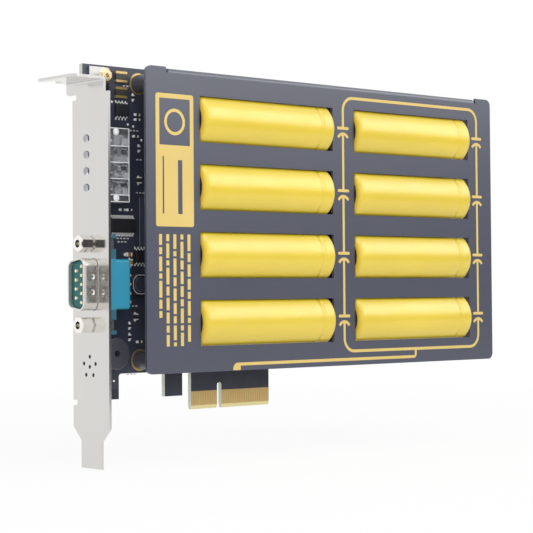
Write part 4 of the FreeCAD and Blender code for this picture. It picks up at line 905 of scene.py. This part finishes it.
class BACKUP_OT_cover_print(bpy.types.Operator):
    """Print the circuit, the panel and the ruled columns on the cover"""
    bl_idname = "backup_module.cover_print"
    bl_label = "Cover Print"

    # Bare bars in the panel, in millimetres: left and right from the field, low and high from the panel.
    BARS = ((7.4, 9.2, 4.0, 21.0), (1.2, 1.8, 4.0, 22.0))
    # Lengths of the ruled strokes, in millimetres.
    DASHES = (3.4, 2.2, 4.6, 1.6, 5.2, 2.8, 3.9)

    def execute(self, context):
        sizes = settings("print_settings")
        tint = settings("finish_settings").ink
        ink = plain_finish("print_ink", tint, 0.42, 0.56, variation=0.03, strength=0.04)
        for name, draw in (("print_circuit", self.circuit), ("print_panel", self.panel),
                           ("print_rules", self.rules)):
            printed_piece(name, draw, -sizes.ink, "cover_paint", ink, sizes)
        return {"FINISHED"}

    def circuit(self, shape, sizes):
        """A loop with a plain capacitor symbol at each cell, and the line that feeds it."""
        half = sizes.line / 2
        flat_frame(shape, cover_point, sizes.loop_left - half, sizes.loop_right + half,
                   sizes.loop_low - half, sizes.loop_high + half, sizes.line, sizes.loop_round + half)
        plates = [sizes.symbol_low + row * sizes.symbol_pitch for row in range(ROWS)]
        for plate in plates:
            self.open_slot(shape, 0.0, COVER_HIGH.x - COVER_LOW.x, plate - sizes.plate_gap - sizes.line,
                           plate + half)
        for plate in plates:
            low, high = plate - half, plate + half
            for middle in (sizes.loop_left, sizes.loop_right):
                flat_field(shape, cover_point, middle - sizes.plate_half, middle + sizes.plate_half,
                           low, high, (high - low) * 0.45)
                centre = cover_point(middle, plate - sizes.plate_gap - sizes.bow_radius - half)
                self.arc(shape, centre, (sizes.bow_radius - half, sizes.bow_radius + half),
                         -sizes.bow_turn, 2 * sizes.bow_turn, steps=14)
        self.feed(shape, sizes)

    def open_slot(self, shape, left, right, low, high):
        """Leave a rectangle of the print bare."""
        near, far = cover_point(left, low), cover_point(right, high)
        for normal in (ALONG_X, ALONG_Z):
            for point in (near, far):
                slice_through(shape, point, normal, dist=SNAP)
        bare = []
        for face in shape.faces:
            middle = face.calc_center_bounds()
            if near.x < middle.x < far.x and near.z < middle.z < far.z:
                bare.append(face)
        bmesh.ops.delete(shape, geom=bare, context="FACES")

    def arc(self, shape, centre, reaches, start, sweep, steps, closed=False):
        """A curved stroke: a short line that is swung round a centre."""
        turn = Matrix.Rotation(start, 3, "Y")
        ends = [shape.verts.new(centre + turn @ Vector((0.0, 0.0, reach))) for reach in reaches]
        edge = shape.edges.new(ends)
        bmesh.ops.spin(shape, geom=ends + [edge], cent=centre, axis=ALONG_Y, angle=sweep, steps=steps,
                       use_merge=closed, use_duplicate=False)

    def feed(self, shape, sizes):
        """The feed line from its pad, along the lower edge and up to the loop."""
        half = sizes.line / 2
        low, high = sizes.feed_level - half, sizes.feed_level + half
        left, right = sizes.feed_end - half, sizes.feed_end + half
        outline = [
            (sizes.feed_left, sizes.pad_low),
            (sizes.feed_left + sizes.pad_width, sizes.pad_low),
            (sizes.feed_left + sizes.pad_width, low),
            (right, low),
            (right, sizes.loop_low - half),
            (left, sizes.loop_low - half),
            (left, high),
            (sizes.feed_left, high),
        ]
        corners = [shape.verts.new(cover_point(*place)) for place in outline]
        shape.faces.new(corners)
        round_corners(shape, [corners[7]], sizes.feed_round, 6)
        round_corners(shape, [corners[3]], sizes.line * 1.6, 5)

    def panel(self, shape, sizes):
        """A filled panel with an open field in its upper part, a plain ring there and two slots below."""
        left, right = sizes.panel_left + sizes.panel_frame, sizes.panel_right - sizes.panel_frame
        top = sizes.panel_high - sizes.panel_frame
        flat_field(shape, cover_point, sizes.panel_left, sizes.panel_right, sizes.panel_low,
                   sizes.panel_high, sizes.panel_round)
        self.open_slot(shape, left, right, sizes.field_low, top)
        for start, stop, low, high in self.BARS:
            self.open_slot(shape, left + start * MM, left + stop * MM, sizes.panel_low + low * MM,
                           sizes.panel_low + high * MM)
        centre = cover_point((left + right) / 2, (sizes.field_low + sizes.panel_high - sizes.panel_frame) / 2)
        reaches = (sizes.ring_radius - sizes.line, sizes.ring_radius)
        self.arc(shape, centre, reaches, 0.0, 2 * math.pi, steps=40, closed=True)

    def rules(self, shape, sizes):
        """Five columns of plain dashes; the first one ends higher up."""
        columns, short = 5, 9 * MM
        half = sizes.rule_width / 2
        for column in range(columns):
            middle = sizes.rule_left + column * sizes.rule_pitch
            top = sizes.rule_high
            bottom = sizes.rule_low if column else sizes.rule_low + short
            count = column
            while top - bottom > sizes.rule_gap:
                low = max(bottom, top - self.DASHES[count % len(self.DASHES)] * MM)
                flat_field(shape, cover_point, middle - half, middle + half, low, top)
                top = low - sizes.rule_gap
                count += 1


class BACKUP_OT_cells(bpy.types.Operator):
    """Shrink a film sleeve on each cell"""
    bl_idname = "backup_module.cells"
    bl_label = "Cells"

    def execute(self, context):
        sizes = settings("sleeve_settings")
        for number in CELLS:
            self.sleeve(number, sizes)
            dress(f"capacitor_can_{number}", f"capacitor_leads_{number}")
        return {"FINISHED"}

    def section(self, sizes, low, high, radius, inset):
        """One side of the film's half section, from one end to the other."""
        groove = high - sizes.groove_setback
        outer = radius - inset
        return [
            (low + inset, sizes.opening),
            (low + inset, outer),
            (groove - sizes.groove_width / 2, outer),
            (groove, outer - sizes.groove_depth),
            (groove + sizes.groove_width / 2, outer),
            (high - inset, outer),
            (high - inset, sizes.opening),
        ]

    def sleeve(self, number, sizes):
        node = f"capacitor_sleeve_{number}"
        low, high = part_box(node)
        radius = (high.z - low.z) / 2
        centre = Vector((low.x, low.y + radius, low.z + radius))
        outside = self.section(sizes, low.x, high.x, radius, 0.0)
        inside = self.section(sizes, low.x, high.x, radius, sizes.wall)
        outline = [(x, centre.y, centre.z + rise) for x, rise in outside + inside[::-1]]
        rounds = ((sizes.shoulder, (1, 5)), (sizes.shoulder - sizes.wall, (8, 12)),
                  (sizes.groove_round, (2, 3, 4)))
        shape = bmesh.new()
        lathe(shape, outline, centre, ALONG_X, sizes.steps, rounds, 8 * MM)
        self.crease(shape, centre, radius, high.x, sizes, number)
        piece = finish_piece(f"sleeve_{number}", shape, "sleeve_yellow", sharp=60.0)
        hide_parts(node)

    def crease(self, shape, centre, radius, end, sizes, number):
        """Draw the film's outside in a little between its ends, unevenly, as shrunk film lies."""
        film, fade = 0.9 * sizes.wall, 4 * MM
        along, around, shift = 70, 150, 7.3
        start, stop = centre.x + sizes.shoulder, end - sizes.groove_setback - sizes.groove_width
        for vert in shape.verts:
            out = Vector((0.0, vert.co.y - centre.y, vert.co.z - centre.z))
            weight = (out.length - radius + film) / film
            weight = min(weight, (vert.co.x - start) / fade, (stop - vert.co.x) / fade)
            if weight > 0.0:
                spot = Vector((vert.co.x * along, vert.co.y * around, vert.co.z * around + number * shift))
                depth = sizes.crease * weight * (0.5 + 0.5 * noise.noise(spot))
                vert.co -= out.normalized() * depth


class BACKUP_OT_serial_port(bpy.types.Operator):
    """Finish the serial port and turn its jackscrews"""
    bl_idname = "backup_module.serial_port"
    bl_label = "Serial Port"

    def execute(self, context):
        tints = settings("finish_settings")
        dress("serial_shell", "serial_housing")
        dress("serial_pins", finish=plain_finish("pin_gold", tints.pin, 0.2, 0.3, metallic=0.5))
        dress("jackscrew_nuts", finish=slot_finish("standoff_black"))
        self.jackscrews(settings("port_settings"))
        return {"FINISHED"}

    def jackscrews(self, sizes):
        """Both jackscrews, centred on their nuts."""
        low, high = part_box("jackscrew_nuts")
        corner = sizes.flats / math.sqrt(3)
        rise = (low.y + high.y) / 2
        shape = bmesh.new()
        for z, turn in ((low.z + corner, sizes.turn), (high.z - corner, 0.0)):
            middle = Vector((BRACKET_FACE - sizes.reach / 2, rise, z))
            mesh = to_mesh("jackscrew", self.jackscrew(middle, turn, corner, high.x, sizes))
            shape.from_mesh(mesh)
            bpy.data.meshes.remove(mesh)
        piece = finish_piece("jackscrew_posts", shape, "screw_steel", sharp=25.0, flat=2 * MM * MM)
        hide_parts("jackscrews")

    def jackscrew(self, middle, turn, corner, stud_end, sizes):
        """A hexagonal post with a bore, chamfered ends and a stud into the nut behind."""
        post = bmesh.new()
        along = Matrix.Rotation(math.pi / 2, 4, "Y")
        place = Matrix.Translation(middle) @ (Matrix.Rotation(turn + math.pi / 2, 4, "X") @ along)
        bmesh.ops.create_cone(post, segments=6, radius1=corner, radius2=corner, depth=sizes.reach,
                              cap_ends=False, cap_tris=False, matrix=place)
        long_edges = [edge for edge in post.edges if edge.calc_length() > 0.9 * sizes.reach]
        bmesh.ops.bevel(post, geom=long_edges, offset=sizes.edge, segments=2, profile=0.5,
                        affect="EDGES", material=-1)
        start, face = middle.x - sizes.reach / 2, middle.x + sizes.reach / 2
        for end, line, cut in ((start, start + sizes.chamfer, sizes.chamfer),
                               (face, face - sizes.seat, sizes.seat)):
            slice_through(post, (line, 0.0, 0.0), ALONG_X)
            ring = [vert for vert in post.verts if abs(vert.co.x - end) < SNAP]
            factor = 1 - cut / corner
            bmesh.ops.scale(post, verts=ring, vec=(1.0, factor, factor), space=Matrix.Translation(-middle))
        for x, radius, depth in ((start, sizes.bore, sizes.bore_depth), (face, sizes.stud, stud_end - face)):
            place = Matrix.Translation((x, middle.y, middle.z)) @ along
            close_end(post, open_rim(post, 0, x), place, radius, depth)
        return post


class BACKUP_OT_indicators(bpy.types.Operator):
    """Finish the light pipe, its lenses, its lamps and the buzzer"""
    bl_idname = "backup_module.indicators"
    bl_label = "Indicators"

    # The light pipe's guides: the Y of their ends, how many they are, and their spacing in millimetres.
    GUIDE_Y, GUIDES, PITCH = -4.8 * MM, 4, 5.08

    def execute(self, context):
        dress("light_pipe", "indicator_leds", "buzzer", "buzzer_pins")
        tints = settings("finish_settings")
        grey = clear_plastic("lens_grey", tints.lens, 0.12, 0.2, 0.2)
        # Painted highlight: the pale strips along the slits and edges stand in for the glint there; the peg
        # heads take the same pale tone.
        pale_glint_finish = clear_plastic("pipe_frosted", tints.frost, 0.15, 0.25, 0.2)
        low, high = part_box("light_pipe")
        peg_x, inset, glint_rise = -48.5 * MM, 1.3 * MM, 0.12 * MM
        ends = [(low.x, self.GUIDE_Y, level) for level in self.levels(low.z, 4.4)]
        heads = [(peg_x, low.y, z) for z in (low.z + inset, high.z - inset)]
        lens = dome_mesh("lens", 1.05 * MM, 0.25 * MM, Vector((-1.0, 0.0, 0.0)), 20, 8)
        peg = dome_mesh("peg", 1.15 * MM, 0.5 * MM, Vector((0.0, -1.0, 0.0)), 20, 8)
        stamped_piece("light_pipe_lenses", "guide_clear", [(lens, ends)], grey)
        stamped_piece("light_pipe_pegs", "guide_clear", [(peg, heads)], pale_glint_finish)
        printed_piece("light_pipe_ribs", self.ribs, -glint_rise, "guide_clear", pale_glint_finish, low, high)
        return {"FINISHED"}

    def levels(self, foot, first):
        """Heights of what each guide has, from the first one's in millimetres."""
        return [foot + (first + self.PITCH * i) * MM for i in range(self.GUIDES)]

    def ribs(self, shape, low, high):
        """Painted highlights: a pale strip above each slit and along the upper, lower and right edges,
        standing in for the glint on those edges.
        """
        glint_width, edge, end, gap = 0.25 * MM, 0.3 * MM, 0.05 * MM, 0.02 * MM
        face = upright(low.y)
        left, right = low.x + 3.0 * MM, high.x - edge
        for level in (*self.levels(low.z, 2.16), low.z + end, high.z - edge):
            flat_field(shape, face, left, right - gap, level, level + glint_width)
        flat_field(shape, face, right, right + glint_width, low.z + end, high.z - end)


class BACKUP_OT_circuits(bpy.types.Operator):
    """Finish the moulded circuits and the small parts beside them"""
    bl_idname = "backup_module.circuits"
    bl_label = "Circuits"

    def execute(self, context):
        for name in ("transceiver", "supervisor", "charger"):
            dress(name, f"{name}_leads")
        dress("inductor_shield", "inductor_core", "resettable_fuses", "fuse_terminals")
        dress("chip_resistors", "ceramic_capacitors", "chip_terminals")
        # Painted highlight: a pale ring on the rounded top edge of the inductor's shield.
        painted_rim_highlight = plain_finish("worn_rim", settings("finish_settings").rim, 0.3, 0.4)
        printed_piece("inductor_rim", self.rim, -0.03 * MM, "ferrite_grey", painted_rim_highlight)
        return {"FINISHED"}

    def rim(self, shape):
        """A painted highlight: the pale ring on the rounded top edge of the inductor's shield."""
        low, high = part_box("inductor_shield")
        inset, line, corner = 0.2 * MM, 0.24 * MM, 2.6 * MM
        flat_frame(shape, upright(low.y), low.x + inset, high.x - inset, low.z + inset, high.z - inset,
                   line, corner)


class BACKUP_OT_solder(bpy.types.Operator):
    """Solder the wires and pins on the back of the board and the small parts on its front"""
    bl_idname = "backup_module.solder"
    bl_label = "Solder"

    # The chips on the component side: X and Z of the middle in millimetres, upright or not, length.
    CHIPS = (
        (-34.0, 95.2, False, 1.6), (-34.0, 93.6, False, 1.6), (-34.7, 88.2, False, 1.6),
        (-35.7, 100.6, True, 1.6), (-33.4, 84.4, True, 1.6), (-40.2, 64.6, False, 1.6),
        (-37.4, 64.6, False, 1.6), (-37.5, 27.8, True, 1.6), (-37.5, 24.2, True, 1.6),
        (-33.6, 22.6, False, 1.6), (-38.0, 50.4, False, 2.0), (-37.4, 47.9, True, 2.0),
        (-33.6, 74.2, True, 2.0), (-35.2, 30.6, True, 2.0),
    )
    # Bare test points on the component side: X and Z in millimetres.
    POINTS = ((-35.54, 91.33), (-37.67, 91.84), (-32.24, 87.08), (-44.01, 98.67), (-43.73, 10.54))
    # The circuits' leads: how many on a side, and their spacing in millimetres.
    LEADS = (("transceiver", 14, 0.65), ("supervisor", 4, 1.27), ("charger", 4, 1.27))

    def execute(self, context):
        sizes = settings("solder_settings")
        self.back(sizes)
        self.front(sizes)
        return {"FINISHED"}

    def back(self, sizes):
        """A cone of solder on each wire and pin, drawn in to it."""
        foot, rise, neck = sizes.joint_radius, sizes.joint_height, sizes.joint_neck
        outline = ((neck * 0.8, 0.0), (foot, 0.0), (foot, 0.12 * rise), (neck * 1.35, 0.55 * rise),
                   (neck, rise), (neck * 0.8, rise))
        joint = turned_mesh("joint", BOARD_HIGH.y, outline, steps=16)
        places = [*self.wire_places(), *self.pin_places(sizes)]
        stamped_piece("solder_joints", "tinned_wire", [(joint, places)])

    def wire_places(self):
        for number in CELLS:
            x, levels = wire_ends(number)
            for z in levels:
                yield x, 0.0, z

    def pin_places(self, sizes):
        low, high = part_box("serial_pins")
        radius = 0.5 * MM
        middle = (low.z + high.z) / 2
        for count, x in ((5, high.x - radius), (4, high.x - radius - sizes.pin_row)):
            for i in range(count):
                yield x, 0.0, middle + (i - (count - 1) / 2) * sizes.pin_pitch

    def front(self, sizes):
        """Rounded solder at the ends of the chips, at the circuits' leads and on the test points."""
        out = Vector((0.0, -1.0, 0.0))
        dot = dome_mesh("dot", sizes.dot_radius, sizes.dot_height, out, 12, 6)
        foot = dome_mesh("foot", sizes.foot_radius, sizes.foot_radius * 0.8, out, 8, 4)
        dots = [(x * MM, BOARD_LOW.y, z * MM) for x, z in (*self.chip_ends(), *self.POINTS)]
        feet = [place for row in self.LEADS for place in self.lead_feet(*row, sizes)]
        stamped_piece("solder_dots", "tinned_wire", [(dot, dots), (foot, feet)])

    def chip_ends(self):
        past = 0.15
        for x, z, standing, span in self.CHIPS:
            for side in (-1, 1):
                reach = side * (span / 2 + past)
                yield (x, z + reach) if standing else (x + reach, z)

    def lead_feet(self, name, count, pitch, sizes):
        low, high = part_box(f"{name}_leads")
        middle = (low.x + high.x) / 2
        past = sizes.foot_radius * 0.3
        for i in range(count):
            for z in (low.z - past, high.z + past):
                yield middle + (i - (count - 1) / 2) * (pitch * MM), BOARD_LOW.y, z


class BACKUP_OT_stage(bpy.types.Operator):
    """Set the floor, the lights and the camera"""
    bl_idname = "backup_module.stage"
    bl_label = "Studio"

    # Floor: its width, its drop under the module, and the reach over which it fades to white.
    FLOOR, FLOOR_DROP, FADE = 8.0, 0.0005, (0.15, 0.5)
    # Where the lights point, and each light's heading, distance, width and height.
    TARGET = Vector((0.03, -0.01, 0.05))
    LIGHTS = {
        "key_light": ((0.664, -0.64, 0.50), 1.0, 0.95, 0.55),
        "top_light": ((-0.1, -0.25, 1.0), 0.9, 0.8, 0.8),
        "front_light": ((-0.62, -0.80, 0.22), 0.9, 0.6, 0.6),
    }
    # Dark cards: width, height, middle and the way that they face.
    FLAGS = {
        "low_flag": (1.6, 0.19, (0.69, -0.72, 0.078), (-0.66, 0.75, 0.0)),
        "floor_flag": (1.3, 0.68, (0.50, -0.61, -0.0145), ALONG_Z),
        "camera_flag": (0.36, 0.15, (-0.43, -0.47, 0.060), (0.66, 0.75, 0.0)),
    }

    def execute(self, context):
        sizes = settings("stage_settings")
        self.world(sizes)
        self.floor()
        self.lights((sizes.key_power, sizes.top_power, sizes.fill_power))
        self.flags()
        self.camera(sizes)
        context.scene.view_settings.view_transform = "Standard"
        return {"FINISHED"}

    def world(self, sizes):
        world = bpy.data.worlds.new("studio")
        bpy.context.scene.world = world
        world.use_nodes = True
        nodes = Nodes(world.node_tree)
        nodes.tree.nodes.clear()
        shades = []
        for strength in (sizes.ambient, 1.0):
            shade = nodes.node("ShaderNodeBackground")
            shade.inputs["Color"].default_value = (1.0, 1.0, 1.0, 1.0)
            shade.inputs["Strength"].default_value = strength
            shades.append(shade.outputs[0])
        shown = nodes.blend(nodes.seen_as_white(), *shades)
        nodes.link(shown, nodes.node("ShaderNodeOutputWorld").inputs["Surface"])

    def card(self, name, width, height, place, facing, material):
        """A flat studio card that looks along a direction."""
        shape = bmesh.new()
        turn = Vector(facing).normalized().to_track_quat("Z", "Y").to_matrix().to_4x4()
        scale = Matrix.Diagonal((width, height, 1.0, 1.0))
        bmesh.ops.create_grid(shape, x_segments=1, y_segments=1, size=0.5,
                              matrix=Matrix.Translation(place) @ turn @ scale)
        mesh = bpy.data.meshes.new(name)
        shape.to_mesh(mesh)
        shape.free()
        mesh.materials.append(material)
        card = bpy.data.objects.new(name, mesh)
        bpy.context.scene.collection.objects.link(card)
        return card

    def floor(self):
        """A pale floor that keeps the shadow near the module and fades to white further out."""
        floor = Finish("floor_white").tone(3.0, 200.0)
        floor.colour(floor.clouded((0.85, 0.85, 0.85), 0.01))
        floor.rough(0.85, 0.95)
        reach = floor.node("ShaderNodeVectorMath", operation="LENGTH")
        floor.feed(reach, floor.place())
        fade = floor.spread(reach.outputs["Value"], 0.9, 1.0, *self.FADE)
        mask = floor.join("MULTIPLY", floor.seen_as_white(), fade)
        shown = floor.blend(mask, floor.shader.outputs[0], floor.node("ShaderNodeEmission").outputs[0])
        floor.link(shown, floor.tree.nodes["Material Output"].inputs["Surface"])
        place = (0.0, 0.0, CAD_BOX[0][2] - self.FLOOR_DROP)
        self.card("floor", self.FLOOR, self.FLOOR, place, ALONG_Z, floor.material)

    def lights(self, powers):
        """Three soft lights; the front one is kept out of the reflections."""
        for (name, (heading, reach, width, height)), power in zip(self.LIGHTS.items(), powers):
            lamp = bpy.data.lights.new(name, "AREA")
            lamp.shape = "RECTANGLE"
            lamp.size, lamp.size_y = width, height
            lamp.energy = power
            light = bpy.data.objects.new(name, lamp)
            heading = Vector(heading).normalized()
            light.location = self.TARGET + heading * reach
            light.rotation_euler = heading.to_track_quat("Z", "Y").to_euler()
            light.visible_camera = False
            light.visible_glossy = name != "front_light"
            bpy.context.scene.collection.objects.link(light)

    def flags(self):
        """Dark cards that only the shiny surfaces see: low in front, on the floor and behind the camera."""
        dark = plain_finish("flag_black", (0.03, 0.03, 0.032), 0.8, 0.9)
        for name, card in self.FLAGS.items():
            flag = self.card(name, *card, dark)
            for ray in ("camera", "diffuse", "transmission", "shadow"):
                setattr(flag, f"visible_{ray}", False)

    def camera(self, sizes):
        lens = bpy.data.cameras.new("camera")
        lens.lens = sizes.lens
        lens.sensor_width = 36.0
        lens.sensor_fit = "HORIZONTAL"
        lens.shift_x = sizes.shift_right
        lens.shift_y = sizes.shift_up
        lens.clip_start = 0.01
        camera = bpy.data.objects.new("camera", lens)
        turn = Matrix.Rotation(-sizes.camera_turn, 4, "Z")
        tilt = Matrix.Rotation(math.pi / 2 + sizes.camera_tilt, 4, "X")
        roll = Matrix.Rotation(sizes.camera_roll, 4, "Z")
        camera.matrix_world = Matrix.Translation(sizes.camera_place) @ turn @ tilt @ roll
        bpy.context.scene.collection.objects.link(camera)
        bpy.context.scene.camera = camera


OPERATORS = (
    BACKUP_OT_bracket,
    BACKUP_OT_board,
    BACKUP_OT_cover,
    BACKUP_OT_cover_print,
    BACKUP_OT_cells,
    BACKUP_OT_serial_port,
    BACKUP_OT_indicators,
    BACKUP_OT_circuits,
    BACKUP_OT_solder,
    BACKUP_OT_stage,
)


class BACKUP_PT_finish(bpy.types.Panel):
    """The steps that finish the module, in order"""
    bl_idname = "BACKUP_PT_finish"
    bl_label = "Backup Module"
    bl_space_type = "VIEW_3D"
    bl_region_type = "UI"
    bl_category = "Backup Module"

    def draw(self, context):
        for operator in OPERATORS:
            self.layout.operator(operator.bl_idname)
        for name, group in SETTINGS.items():
            box = self.layout.box()
            box.label(text=name.replace("_", " ").title())
            for prop in group.__annotations__:
                box.prop(getattr(context.scene, name), prop)


CLASSES = (*SETTINGS.values(), *OPERATORS, BACKUP_PT_finish)


def register():
    for item in CLASSES:
        bpy.utils.register_class(item)
    for name, group in SETTINGS.items():
        setattr(bpy.types.Scene, name, bpy.props.PointerProperty(type=group))


def unregister():
    for name in SETTINGS:
        delattr(bpy.types.Scene, name)
    for item in reversed(CLASSES):
        bpy.utils.unregister_class(item)


def main():
    register()
    for operator in OPERATORS:
        group, name = operator.bl_idname.split(".")
        getattr(getattr(bpy.ops, group), name)()


if __name__ == "__main__":
    main()
